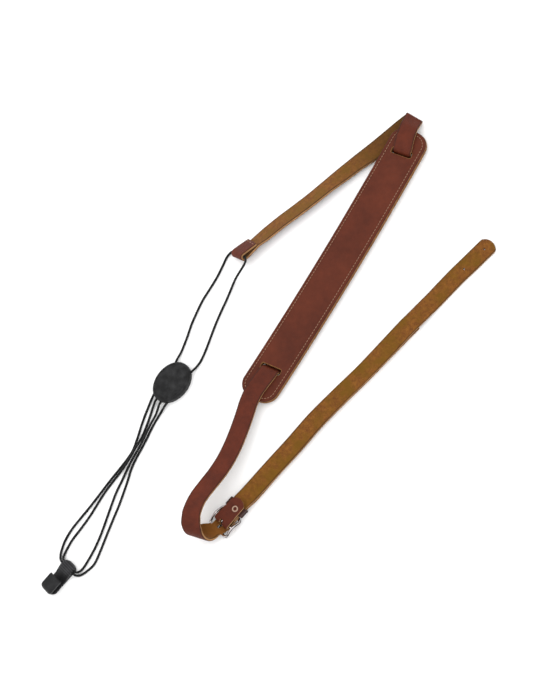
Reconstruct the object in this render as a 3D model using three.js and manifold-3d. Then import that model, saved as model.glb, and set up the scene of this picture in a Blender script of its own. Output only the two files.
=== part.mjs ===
// Ukulele strap, lying flat: a stitched leather shoulder pad, a buckled two-part leather strap,
// and an elastic cord with a cord lock and a sound-hole hook.
// Millimetres, +Z up; the strap rests on the plane z = 0.
import * as THREE from 'three';
import { mergeVertices } from 'three/addons/utils/BufferGeometryUtils.js';
import Module from 'manifold-3d';

const wasm = await Module();
wasm.setup();

// ---- Driving dimensions -------------------------------------------------------------------
const GAP = 0.3; // clearance between touching pieces
const STRAP = { width: 16, thick: 2.2, step: 11 };
const STRAP_MID = STRAP.thick / 2; // height of the middle of a strap that lies on the floor
const LAYER = STRAP.thick + GAP; // rise from one strap layer to the next

const PAD = {
  top: [67.8, 157.9], // middle of the upper end
  bottom: [-73.3, -61], // middle of the lower end
  width: 33.5,
  corner: 12, // radius of the rounded corners
  bow: 2.6, // how far its long sides curve towards the lower right
  bed: 2.8, // height of its underside
  backThick: 1.8,
  frontThick: 2.2,
  backProud: 0.4, // how far the back layer shows past the front one
};
const PAD_TOP = PAD.bed + PAD.backThick + GAP + PAD.frontThick;
const SLOT = { length: 18.6, width: 5.3, corner: 1.3, heading: 153 };
const UPPER_SLOT = [56.9, 139.9];
const LOWER_SLOT = [-57.7, -38];
const DIVE = { radius: 3, degrees: 75 }; // how a strap turns down through a slot

const BUCKLE = { x: -97.7, y: -161.4, heading: 44.8 }; // middle of the centre bar, strap's way
const DRIFT = 0.04; // how far the long strap lies to the right before the bar, per millimetre
const FRAME = { reach: 9, half: 9.8, corner: 2.2, wire: 1, barZ: 2.3, arch: 4 };
const CENTRE_BAR_Z = FRAME.barZ + FRAME.arch;
const WRAP = FRAME.wire + GAP + STRAP_MID; // bend radius of the strap round the centre bar
const KEEPER = { from: 11.2, length: 7.6, wall: 1, inside: 7.6, ceiling: 8.1, round: 0.4 };
const FLAP = { reach: 22.2, crown: 8.2, aside: 0.7, z: KEEPER.ceiling + KEEPER.wall + GAP + STRAP_MID };
const RIVET = { along: 13.8, across: 2.6, head: 2.8, eye: 1.2, shank: 1.7, rise: 0.8, foot: 5.2 };
const PRONG = { wire: 0.65, ring: 2, slotHalf: 1.6 };
const BUTTON_HOLES = { radius: 0.9, fromTip: [8.6, 31.3] };
const TAIL_CROWN = 9.2; // radius of the tail's rounded end
const ADJUST_HOLES = { radius: 1.1, count: 4, pitch: 20, first: 25 };

const CORD = { radius: 1, sides: 8 };
const LOCK = { x: -145.6, y: -41.3, heading: 47, long: 19, short: 14.5, holeZ: 3.2 };
const LOCK_HOLES = { radius: 1.7, depth: 5.6, upper: [-9.1, 7.1], lower: [-6.1, -1.2, 3.4, 8.1] };
const HOOK = {
  x: -231.3, y: -189.3, heading: 226, width: 12.4, length: 31.5, plate: 2.4, gap: 4.6, tip: 2.2,
  tipFrom: 17, slope: 6.5, head: 8.2, headHeight: 5.8, corner: 4,
};
const HOOK_HOLE = { along: 4.7, z: 3, length: 5, height: 2.7 };

// ---- Colours ------------------------------------------------------------------------------
const finish = (color, roughness, metalness = 0) =>
  new THREE.MeshStandardMaterial({ color, roughness, metalness });
const grain = () => finish(0x6b3a2c, 0.55);
const suede = () => finish(0x8f6330, 0.9);
const chrome = () => finish(0xc9cbd0, 0.15, 1);
const plastic = () => finish(0x2d2d2f, 0.5);
const cordBlack = () => finish(0x232324, 0.85);

// ---- Small geometry helpers ---------------------------------------------------------------
const rad = THREE.MathUtils.degToRad;
const vec = (x, y, z) => new THREE.Vector3(x, y, z);

/** Unit vector of a heading in the plane and a rise above it, both in degrees. */
function aim(heading, rise = 0) {
  const flat = Math.cos(rad(rise));
  return vec(flat * Math.cos(rad(heading)), flat * Math.sin(rad(heading)), Math.sin(rad(rise)));
}

/** Point at a distance along and across (to the right of) a heading from an origin. */
function beside(origin, along, across, z = 0) {
  const way = aim(origin.heading);
  return vec(origin.x + along * way.x + across * way.y, origin.y + along * way.y - across * way.x, z);
}

/** Matrix that sets X along a heading at a place, with Z up. */
function standing(at, heading) {
  return new THREE.Matrix4().makeRotationZ(rad(heading)).setPosition(at);
}

function toManifold(geometry) {
  const bare = geometry.clone();
  bare.deleteAttribute('normal');
  bare.deleteAttribute('uv');
  const merged = mergeVertices(bare, 1e-5);
  return new wasm.Manifold(new wasm.Mesh({
    numProp: 3,
    vertProperties: new Float32Array(merged.attributes.position.array),
    triVerts: new Uint32Array(merged.index.array),
  }));
}

function toGeometry(manifold) {
  const mesh = manifold.getMesh();
  const geometry = new THREE.BufferGeometry();
  geometry.setAttribute('position', new THREE.BufferAttribute(mesh.vertProperties, 3));
  geometry.setIndex(new THREE.BufferAttribute(mesh.triVerts, 1));
  return geometry;
}

function cut(geometry, tools) {
  return toGeometry(tools.reduce((body, tool) => body.subtract(toManifold(tool)), toManifold(geometry)));
}

function join(geometries) {
  return toGeometry(geometries.map(toManifold).reduce((body, other) => body.add(other)));
}

/** Closed mesh from rings of points, all with the same even count; the first and last are capped. */
function loft(rings) {
  const count = rings[0].length;
  const points = rings.flat();
  const index = [];
  for (let k = 0; k + 1 < rings.length; k += 1) {
    for (let i = 0; i < count; i += 1) {
      const a = k * count + i;
      const b = k * count + (i + 1) % count;
      index.push(a, b, b + count, a, b + count, a + count);
    }
  }
  const last = (rings.length - 1) * count;
  for (let i = 0; i < count / 2 - 1; i += 1) {
    const j = count - 1 - i;
    index.push(i, j, i + 1, i + 1, j, j - 1);
    index.push(last + i, last + i + 1, last + j, last + i + 1, last + j - 1, last + j);
  }
  const geometry = new THREE.BufferGeometry().setFromPoints(points);
  geometry.setIndex(index);
  return geometry;
}

// ---- Leather strips -----------------------------------------------------------------------
// A strip is a list of rungs. A rung has the middle of the leather, the way its cross line points
// (to the right of the strip's travel, with the grain side up) and the strip's width there.

const rung = ([x, y, z, heading, rise = 0, width = STRAP.width]) =>
  ({ at: vec(x, y, z), across: aim(heading, rise), width });

/** Rungs of a bend round an axis that lies along the last rung, which may be askew to the travel. */
function bend(from, travel, radius, degrees, side) {
  const slide = travel.dot(from.across);
  const ahead = travel.clone().addScaledVector(from.across, -slide).normalize();
  const pitch = slide / Math.sqrt(1 - slide * slide);
  const inward = vec().crossVectors(from.across, ahead).multiplyScalar(side);
  const steps = Math.ceil(degrees / 20);
  const rungs = [];
  for (let k = 1; k <= steps; k += 1) {
    const turn = rad(degrees) * k / steps;
    const at = from.at.clone()
      .addScaledVector(from.across, pitch * radius * turn)
      .addScaledVector(ahead, radius * Math.sin(turn))
      .addScaledVector(inward, radius * (1 - Math.cos(turn)));
    rungs.push({ at, across: from.across.clone(), width: from.width });
  }
  return rungs;
}

/** Hermite curve through the rungs, cut into steps no longer than the strip's step. */
function smooth(rungs, step) {
  const travelled = [0];
  rungs.slice(1).forEach((r, i) => travelled.push(travelled[i] + r.at.distanceTo(rungs[i].at)));
  const pack = (r) => [...r.at.toArray(), ...r.across.toArray(), r.width];
  const rows = rungs.map(pack);
  const slope = (i, c) => {
    const a = Math.max(0, i - 1);
    const b = Math.min(rows.length - 1, i + 1);
    return (rows[b][c] - rows[a][c]) / (travelled[b] - travelled[a]);
  };
  const made = [];
  for (let i = 0; i + 1 < rows.length; i += 1) {
    const span = travelled[i + 1] - travelled[i];
    const parts = Math.max(1, Math.ceil(span / step));
    const last = i + 2 === rows.length ? parts : parts - 1;
    for (let k = 0; k <= last; k += 1) {
      const t = k / parts;
      const row = rows[i].map((start, c) => {
        const end = rows[i + 1][c];
        const hook = (t ** 3 - 2 * t * t + t) * slope(i, c) + (t ** 3 - t * t) * slope(i + 1, c);
        return start * (2 * t ** 3 - 3 * t * t + 1) + end * (3 * t * t - 2 * t ** 3) + hook * span;
      });
      made.push({ at: vec(row[0], row[1], row[2]), across: vec(row[3], row[4], row[5]).normalize(),
        width: row[6], s: travelled[i] + t * span });
    }
  }
  return made;
}

/** How far a rounded end of that radius falls back at a share v of the half width. */
const crownDrop = (radius, half, v) => radius - Math.sqrt(radius * radius - half * half * v * v);

/** A leather strip's solid: its mid surface, thickened both ways; ends may be rounded. */
function leather(rungs, { columns = 2, startCrown = 0, endCrown = 0 } = {}) {
  const thick = STRAP.thick;
  const rows = smooth(rungs, STRAP.step);
  const total = rows[rows.length - 1].s;
  const blend = 9; // length over which a rounded end squeezes the rows
  const rings = rows.map((row, k) => {
    const before = rows[Math.max(0, k - 1)];
    const after = rows[Math.min(rows.length - 1, k + 1)];
    const travel = vec().subVectors(after.at, before.at).normalize();
    const normal = vec().crossVectors(row.across, travel);
    const half = row.width / 2 / normal.length();
    normal.normalize();
    const front = [];
    const back = [];
    for (let c = 0; c <= 2 * columns; c += 1) {
      const v = c / columns - 1;
      const fromStart = Math.max(0, 1 - row.s / blend);
      const fromEnd = Math.max(0, 1 - (total - row.s) / blend);
      let shift = 0;
      if (startCrown) shift += fromStart * crownDrop(startCrown, row.width / 2, v);
      if (endCrown) shift -= fromEnd * crownDrop(endCrown, row.width / 2, v);
      const at = row.at.clone().addScaledVector(row.across, half * v).addScaledVector(travel, shift);
      front.push(at.clone().addScaledVector(normal, thick / 2));
      back.unshift(at.clone().addScaledVector(normal, -thick / 2));
    }
    return [...front, ...back];
  });
  return loft(rings);
}

// ---- The strap's routes -------------------------------------------------------------------

/** End of the long strap, turned over the cord and sewn down: it lies with one edge on the floor. */
const CORD_END = { x: -84.4, y: 64.1, heading: 220, loop: 2.7 };
// from the turn to a distance back from it: heading of the cross line, roll, width
const CORD_END_TWIST = { back: 15.4, heading: [146, 138], roll: [27, 34], width: [15, 16] };

/** Rung of the cord end at a distance back from the turn and a lift above the run. */
function endRung(back, lift) {
  const share = back / CORD_END_TWIST.back;
  const blend = ([from, to]) => from + (to - from) * share;
  const roll = blend(CORD_END_TWIST.roll);
  const across = aim(blend(CORD_END_TWIST.heading), -roll);
  const out = aim(CORD_END.heading);
  const up = vec().crossVectors(across, out).normalize();
  const z = STRAP.width / 2 * Math.sin(rad(roll)) + STRAP_MID * Math.cos(rad(roll));
  const at = vec(CORD_END.x, CORD_END.y, z).addScaledVector(out, -back).addScaledVector(up, lift);
  return { at, across, width: blend(CORD_END_TWIST.width) };
}

/** The flap from its cut edge to the turn, the turn round the cord, and the run below the flap. */
function cordEnd() {
  // distance back from the turn, lift above the run
  const flap = [
    [15.4, LAYER],
    [11, LAYER + 0.8],
    [7, LAYER + 1.6],
    [3.2, LAYER + 2.3],
  ].map((row) => endRung(...row));
  const top = endRung(0, 2 * CORD_END.loop);
  const out = aim(CORD_END.heading);
  const square = out.clone().addScaledVector(top.across, -out.dot(top.across)).normalize();
  const turn = bend(top, square, CORD_END.loop, 180, -1);
  const run = [4, 8, 12, 16].map((back) => endRung(back, 0));
  return [...flap, top, ...turn, ...run];
}

// x, y, z, heading of the rung, its rise
const RUN_TO_FOLD = [
  [-62.5, 81.6, 4.7, 128, -28],
  [-49.3, 91, 4.6, 125, -27],
  [-34.9, 100.2, 4.5, 124, -26],
  [-21.2, 109.3, 4.4, 124, -25],
  [-7.9, 118.9, 4.2, 124, -23],
  [5.5, 128.5, 3.3, 124, -16],
  [19.1, 138, 2.7, 124, -11.5],
  [33, 147.5, 1.2, 124.5, -1],
  [45.9, 156.8, STRAP_MID, 126, 0],
  [56.8, 164.8, STRAP_MID, 133, 0],
];
const TOP_FOLD = { row: [66.3, 171.2, STRAP_MID, 141.7], travel: 35.6, radius: 1.45 };
const FOLD_TO_SLOT = [
  [66, 166.3, 6.2, 148],
  [64.4, 162, 8.3, 153],
  [62.6, 157.2, 8.8, 156],
  [60.6, 151.7, 8.8, 156],
];
const UNDER_PAD = [
  [48, 125.8, STRAP_MID, 148],
  [-1, 49.8, STRAP_MID, 147.2],
  [-49, -24.6, STRAP_MID, 148],
];
const LOWER_RUN = [
  [-66, -49, 8.7, 148, 0],
  [-71.5, -56.5, 8.9, 155, 0],
  [-75.8, -65.5, 9.2, 161, -1],
  [-78.9, -75.5, 9.8, 161, -2],
  [-82.2, -85.5, 10.5, 159, -3],
  [-85.9, -95.6, 11.3, 156, -3],
  [-90, -105.5, 12.3, 152, -4],
  [-95.1, -115.4, 13.5, 147, -6],
  [-101.6, -125.3, 14.9, 143, -9],
  [-109.3, -135.2, 16.6, 142, -11],
  [-116, -144.9, 18.2, 146, -10],
  [-119.8, -154.9, 19.6, 153, -5],
  [-120.5, -161.6, 20, 157, -1],
];
const BOTTOM_FOLD = { row: [-120.4, -165.3, 20, 161.5], travel: -82, radius: 7.6 };

// distance along the buckle's axis, height and width of the long strap, height of the tail above it
const THROUGH_BUCKLE = [
  [-8.6, 4.9, 12.4],
  [-6.5, 4.1, 12.9],
  [-4.3, 2.95, 13.6],
  [-2.2, 1.95, 14.4],
  [0, 1.4, 15],
  [2.2, 1.85, 15.2, 4.4],
  [4.3, 2.85, 15.2, 5.5],
  [6.5, 3.9, 15.2, 6.6],
  [9, 4.75, 14.9, 7.3],
  [11.5, 3.75, 14.4, 6.4],
  [15, 2.95, 14.2, 5.6],
  [21.5, 2.7, 14.6, 5.3],
  [30, 1.3, 15.3, 3.9],
];

// middle of the tail strap in the plane and its width, from the buckle to its end
const TAIL_OVER_FREE_END = [
  [-57.2, -120.7, 15.6],
  [-38.6, -102.2, 15.8],
  [-20.9, -83.6, 15.6],
  [-0.9, -65.1, 15],
  [19.8, -46.8, 14.7],
  [39.5, -28.3, 15.3],
  [56, -12.1, 15.1],
];
// x, y, z, width
const TAIL_ALONE = [
  [64, -4.9, 3.6, 15],
  [71.4, 2.4, 2.4, 15.1],
  [79.3, 10.1, 1.2, 15.2],
  [88.1, 18.6, 1.1, 15.3],
  [98, 27.9, 1.1, 15.3],
  [108.5, 37, 1.1, 15.5],
  [127.9, 54.1, 1.1, 15.5],
];
// its end, and how far it lies to the right of the tail above, along the way and at its end
const FREE_END = { x: 61, y: -7.4, shift: -0.6, endShift: 0.2, width: 15.4 };

/** Strip through one of the pad's slots: level, steeply down or up, and level again. */
function dive(slot, travelHeading, startZ, endZ) {
  const side = endZ < startZ ? -1 : 1;
  const travel = aim(travelHeading);
  const arcDrop = 2 * DIVE.radius * (1 - Math.cos(rad(DIVE.degrees)));
  const slant = (Math.abs(endZ - startZ) - arcDrop) / Math.sin(rad(DIVE.degrees));
  const reach = 2 * DIVE.radius * Math.sin(rad(DIVE.degrees)) + slant * Math.cos(rad(DIVE.degrees));
  const start = rung([slot[0], slot[1], startZ, SLOT.heading]);
  start.at.addScaledVector(travel, -reach / 2);
  const first = bend(start, travel, DIVE.radius, DIVE.degrees, side);
  const steep = travel.clone().multiplyScalar(Math.cos(rad(DIVE.degrees)));
  steep.z = side * Math.sin(rad(DIVE.degrees));
  const second = { ...first[first.length - 1] };
  second.at = second.at.clone().addScaledVector(steep, slant);
  return [start, ...first, second, ...bend(second, steep, DIVE.radius, DIVE.degrees, -side)];
}

/** The long strap's rungs: cord end, run, fold, pad, lower run, fold, buckle and free end. */
function longStrapRungs() {
  const fold = rung(TOP_FOLD.row);
  const lowFold = rung(BOTTOM_FOLD.row);
  const overPad = PAD_TOP + GAP + STRAP_MID;
  const flip = BUCKLE.heading + 90; // its grain side faces down from the last fold on
  const atBuckle = THROUGH_BUCKLE.map(([along, z, width]) => {
    const p = beside(BUCKLE, along, DRIFT * Math.max(0, -along), z);
    return rung([p.x, p.y, z, flip, 0, width]);
  });
  const right = aim(BUCKLE.heading - 90);
  const under = (x, y, shift) => rung([
    x + shift * right.x, y + shift * right.y, STRAP_MID, flip - 1.5, 0, FREE_END.width]);
  const free = [
    ...TAIL_OVER_FREE_END.slice(0, -1).map(([x, y]) => under(x, y, FREE_END.shift)),
    under(FREE_END.x, FREE_END.y, FREE_END.endShift),
  ];
  return [
    ...cordEnd(),
    ...RUN_TO_FOLD.map(rung),
    fold,
    ...bend(fold, aim(TOP_FOLD.travel), TOP_FOLD.radius, 180, -1),
    ...FOLD_TO_SLOT.map(rung),
    ...dive(UPPER_SLOT, -116, overPad, STRAP_MID),
    ...UNDER_PAD.map(rung),
    ...dive(LOWER_SLOT, -121, STRAP_MID, overPad),
    ...LOWER_RUN.map(rung),
    lowFold,
    ...bend(lowFold, aim(BOTTOM_FOLD.travel), BOTTOM_FOLD.radius, 180, -1),
    ...atBuckle,
    ...free,
  ];
}

/** The tail strap's rungs: riveted flap, turn round the centre bar, and the tail to its end. */
function tailStrapRungs() {
  const left = BUCKLE.heading + 90;
  const placed = (along, z, width, aside = 0) => {
    const p = beside(BUCKLE, along, aside, z);
    return rung([p.x, p.y, z, left, 0, width]);
  };
  const stacked = STRAP_MID + LAYER;
  // distance along the buckle's axis, height, width, distance to the right of the axis
  const flap = [
    [FLAP.reach, FLAP.z, 12.8, FLAP.aside],
    [16, FLAP.z, 13, FLAP.aside],
    [11, FLAP.z, 13.3, FLAP.aside],
    [5, FLAP.z - 0.8, 14, FLAP.aside * 0.6],
  ];
  const top = placed(0, CENTRE_BAR_Z + WRAP, 14.6);
  return [
    ...flap.map((row) => placed(...row)),
    top,
    ...bend(top, aim(BUCKLE.heading + 180), WRAP, 180, -1),
    ...THROUGH_BUCKLE.filter((row) => row[3]).map((row) => placed(row[0], row[3], row[2])),
    ...TAIL_OVER_FREE_END.map(([x, y, width]) => rung([x, y, stacked, left - 1.5, 0, width])),
    ...TAIL_ALONE.map(([x, y, z, width]) => rung([x, y, z, left - 2.3, 0, width])),
  ];
}

/** Upright round pin, used to punch holes. */
function pin(at, radius, height, sides = 16) {
  const geometry = new THREE.CylinderGeometry(radius, radius, height, sides);
  geometry.rotateX(Math.PI / 2);
  geometry.translate(at.x, at.y, at.z);
  return geometry;
}

function block(origin, along, across, z, size) {
  const geometry = new THREE.BoxGeometry(...size);
  geometry.applyMatrix4(standing(beside(origin, along, across, z), origin.heading));
  return geometry;
}

function longStrap() {
  const holes = [block(BUCKLE, -4.8, 0, 3, [5.4, 2.6, 8])];
  const end = vec(FREE_END.x, FREE_END.y, STRAP_MID);
  for (let k = 0; k < ADJUST_HOLES.count; k += 1) {
    const far = ADJUST_HOLES.first + k * ADJUST_HOLES.pitch;
    holes.push(pin(end.clone().addScaledVector(aim(223), far), ADJUST_HOLES.radius, 2 * STRAP.thick, 10));
  }
  return cut(leather(longStrapRungs()), holes);
}

function tailStrap() {
  const rungs = tailStrapRungs();
  const tip = rungs[rungs.length - 1].at;
  const before = rungs[rungs.length - 2].at;
  const back = vec().subVectors(before, tip).setZ(0).normalize();
  const holes = BUTTON_HOLES.fromTip.map((far) => {
    const at = tip.clone().addScaledVector(back, far);
    return pin(at, BUTTON_HOLES.radius, 2 * STRAP.thick);
  });
  holes.push(block(BUCKLE, -0.4, 0, 6, [7.2, 2 * PRONG.slotHalf, 7.6]));
  holes.push(pin(beside(BUCKLE, RIVET.along, RIVET.across, 8), RIVET.shank + GAP, 8));
  return cut(leather(rungs, { columns: 3, startCrown: FLAP.crown, endCrown: TAIL_CROWN }), holes);
}

// ---- Shoulder pad -------------------------------------------------------------------------

/** Rounded rectangle as [along, across] pairs, with no side longer than a limit. */
function roundedLoop(halfLong, halfWide, radius, turns, longest) {
  const loop = [];
  [[1, 1], [-1, 1], [-1, -1], [1, -1]].forEach(([end, side], corner) => {
    for (let k = 0; k <= turns; k += 1) {
      const a = Math.PI / 2 * (corner + k / turns);
      const along = end * (halfLong - radius) + radius * Math.cos(a);
      loop.push([along, side * (halfWide - radius) + radius * Math.sin(a)]);
    }
  });
  return loop.flatMap((p, i) => {
    const q = loop[(i + 1) % loop.length];
    const parts = Math.max(1, Math.ceil(Math.hypot(q[0] - p[0], q[1] - p[1]) / longest));
    const share = (k) => [p[0] + (q[0] - p[0]) * k / parts, p[1] + (q[1] - p[1]) * k / parts];
    return Array.from({ length: parts }, (_, k) => share(k));
  });
}

/** Outline of a pad layer: a rounded rectangle along a gently bowed centre line. */
function padOutline(proud) {
  const start = new THREE.Vector2(...PAD.top);
  const end = new THREE.Vector2(...PAD.bottom);
  const half = start.distanceTo(end) / 2 + proud;
  const way = end.clone().sub(start).normalize();
  const right = new THREE.Vector2(way.y, -way.x);
  const middle = start.clone().add(end).multiplyScalar(0.5);
  return roundedLoop(half, PAD.width / 2 + proud, PAD.corner + proud, 7, 22).map(([along, across]) => {
    const bow = PAD.bow * (1 - (along / half) ** 2);
    return middle.clone().addScaledVector(way, along).addScaledVector(right, across - bow);
  });
}

/** Upright punch for a strap slot. */
function slotPunch([x, y]) {
  const outline = roundedLoop(SLOT.length / 2, SLOT.width / 2, SLOT.corner, 3, 30);
  const shape = new THREE.Shape(outline.map((p) => new THREE.Vector2(...p)));
  const geometry = new THREE.ExtrudeGeometry(shape, { depth: 12, bevelEnabled: false });
  geometry.applyMatrix4(standing(vec(x, y, -1), SLOT.heading));
  return geometry;
}

function padLayer(bottom, thick, proud) {
  const shape = new THREE.Shape(padOutline(proud));
  const geometry = new THREE.ExtrudeGeometry(shape, { depth: thick, bevelEnabled: false });
  geometry.translate(0, 0, bottom);
  return cut(geometry, [slotPunch(UPPER_SLOT), slotPunch(LOWER_SLOT)]);
}

// ---- Buckle, keeper and rivet -------------------------------------------------------------

/** Ring of points round a path's point, square to the path. */
function wireRing(at, travel, radius, sides) {
  const out = vec().crossVectors(travel, vec(0, 0, 1)).normalize();
  const up = vec().crossVectors(out, travel).normalize();
  return Array.from({ length: sides }, (_, i) => {
    const a = 2 * Math.PI * i / sides;
    return at.clone().addScaledVector(out, radius * Math.cos(a)).addScaledVector(up, radius * Math.sin(a));
  });
}

/** Round wire along an open run of points, with flat ends. */
function openWire(points, radius, sides) {
  return loft(points.map((p, k) => {
    const ahead = points[Math.min(points.length - 1, k + 1)];
    const behind = points[Math.max(0, k - 1)];
    const travel = vec().subVectors(ahead, behind).normalize();
    return wireRing(p, travel, radius, sides).reverse();
  }));
}

/** Round wire along a closed loop of points. */
function closedWire(points, radius, sides) {
  const count = points.length;
  const rings = points.map((p, k) => {
    const travel = vec().subVectors(points[(k + 1) % count], points[(k + count - 1) % count]).normalize();
    return wireRing(p, travel, radius, sides);
  });
  const index = [];
  for (let k = 0; k < count; k += 1) {
    const next = (k + 1) % count;
    for (let i = 0; i < sides; i += 1) {
      const j = (i + 1) % sides;
      index.push(k * sides + i, next * sides + i, next * sides + j);
      index.push(k * sides + i, next * sides + j, k * sides + j);
    }
  }
  const geometry = new THREE.BufferGeometry().setFromPoints(rings.flat());
  geometry.setIndex(index);
  return geometry;
}

/** Arched rectangular frame of round wire with a centre bar, notched under one bar for the prong. */
function buckleFrame() {
  const loop = roundedLoop(FRAME.reach, FRAME.half, FRAME.corner, 4, 3.2);
  const points = loop.map(([along, across]) =>
    beside(BUCKLE, along, across, FRAME.barZ + FRAME.arch * (1 - (along / FRAME.reach) ** 2) ** 2));
  const bar = new THREE.CylinderGeometry(FRAME.wire, FRAME.wire, 2 * FRAME.half, 8);
  bar.applyMatrix4(standing(beside(BUCKLE, 0, 0, CENTRE_BAR_Z), BUCKLE.heading));
  const notch = new THREE.CylinderGeometry(PRONG.wire + GAP, PRONG.wire + GAP, 4, 12);
  notch.applyMatrix4(standing(beside(BUCKLE, -FRAME.reach, 0, PRONG.wire), BUCKLE.heading - 90));
  return cut(join([closedWire(points, FRAME.wire, 8), bar]), [notch]);
}

/** Prong: an eye round the centre bar and a tongue down through the long strap to the near bar. */
function buckleProng() {
  const eye = new THREE.TorusGeometry(PRONG.ring, PRONG.wire, 8, 14);
  eye.applyMatrix4(new THREE.Matrix4().makeRotationX(Math.PI / 2));
  eye.applyMatrix4(standing(beside(BUCKLE, 0, 0, CENTRE_BAR_Z), BUCKLE.heading));
  // distance along the buckle's axis, height
  const tongue = [
    [-1.75, 5.3],
    [-3.4, 4.1],
    [-5.4, 2.7],
    [-7.2, 1.3],
    [-8.4, PRONG.wire],
    [-10.1, PRONG.wire],
  ];
  const points = tongue.map(([along, z]) => beside(BUCKLE, along, 0, z));
  return join([eye, openWire(points, PRONG.wire, 8)]);
}

/** Basis whose Z runs along the buckle's axis and whose Y is up. */
function alongBuckle(along) {
  const forward = aim(BUCKLE.heading);
  const left = aim(BUCKLE.heading + 90);
  return new THREE.Matrix4().makeBasis(left, vec(0, 0, 1), forward).setPosition(beside(BUCKLE, along, 0));
}

/** Flat leather loop round both straps, pierced on top by the rivet. */
function keeperLoop() {
  const { wall, inside, ceiling, round } = KEEPER;
  const ring = (half, low, high, corner) => {
    const middle = (low + high) / 2;
    return roundedLoop(half, (high - low) / 2, corner, 3, 30).map(([x, y]) => new THREE.Vector2(x, y + middle));
  };
  const shape = new THREE.Shape(ring(inside + wall, 0, ceiling + wall, round + wall));
  shape.holes.push(new THREE.Path(ring(inside, wall, ceiling, round)));
  const geometry = new THREE.ExtrudeGeometry(shape, { depth: KEEPER.length, bevelEnabled: false });
  geometry.applyMatrix4(alongBuckle(KEEPER.from));
  const hole = pin(beside(BUCKLE, RIVET.along, RIVET.across, ceiling), RIVET.shank + GAP, 4);
  return cut(geometry, [hole]);
}

/** Hollow rivet: a domed ring on top of the flap and a tube down through the layers. */
function rivet() {
  const seat = FLAP.z + STRAP_MID + GAP;
  const profile = [
    [RIVET.eye, RIVET.foot],
    [RIVET.shank, RIVET.foot],
    [RIVET.shank, seat],
    [RIVET.head, seat],
    [RIVET.head - 0.1, seat + RIVET.rise * 0.5],
    [RIVET.head - 0.6, seat + RIVET.rise],
    [RIVET.shank, seat + RIVET.rise * 0.9],
    [RIVET.eye, seat + RIVET.rise * 0.4],
    [RIVET.eye, RIVET.foot],
  ].map(([r, z]) => new THREE.Vector2(r, z));
  const geometry = new THREE.LatheGeometry(profile, 16);
  geometry.rotateX(Math.PI / 2);
  const p = beside(BUCKLE, RIVET.along, RIVET.across);
  geometry.translate(p.x, p.y, 0);
  return toGeometry(toManifold(geometry));
}

// ---- Cord, lock and hook ------------------------------------------------------------------

/** Oval lock: stacked ellipses, with blind holes for the cords at both ends. */
function cordLock() {
  // height, how far the outline is set in
  const levels = [
    [0, 1],
    [0.8, 0.2],
    [2.5, 0],
    [5.2, 0],
    [6.2, 0.5],
    [6.7, 1.4],
    [7.2, 4],
    [7.5, 8],
  ];
  const sides = 24;
  const centre = vec(LOCK.x, LOCK.y, 0);
  const long = aim(LOCK.heading);
  const short = aim(LOCK.heading + 90);
  const body = loft(levels.map(([z, inset]) => Array.from({ length: sides }, (_, i) => {
    const a = 2 * Math.PI * (i + 0.5) / sides;
    return centre.clone().setZ(z)
      .addScaledVector(long, (LOCK.long - inset) * Math.cos(a))
      .addScaledVector(short, (LOCK.short - inset) * Math.sin(a));
  })));
  const holes = [];
  [[1, LOCK_HOLES.upper], [-1, LOCK_HOLES.lower]].forEach(([end, list]) => list.forEach((across) => {
    const rim = LOCK.long * Math.sqrt(1 - (across / LOCK.short) ** 2);
    const hole = new THREE.CylinderGeometry(LOCK_HOLES.radius, LOCK_HOLES.radius, 2 * LOCK_HOLES.depth, 8);
    hole.applyMatrix4(standing(beside(LOCK, end * rim, across, LOCK.holeZ), LOCK.heading - 90));
    holes.push(hole);
  }));
  return cut(body, holes);
}

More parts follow.
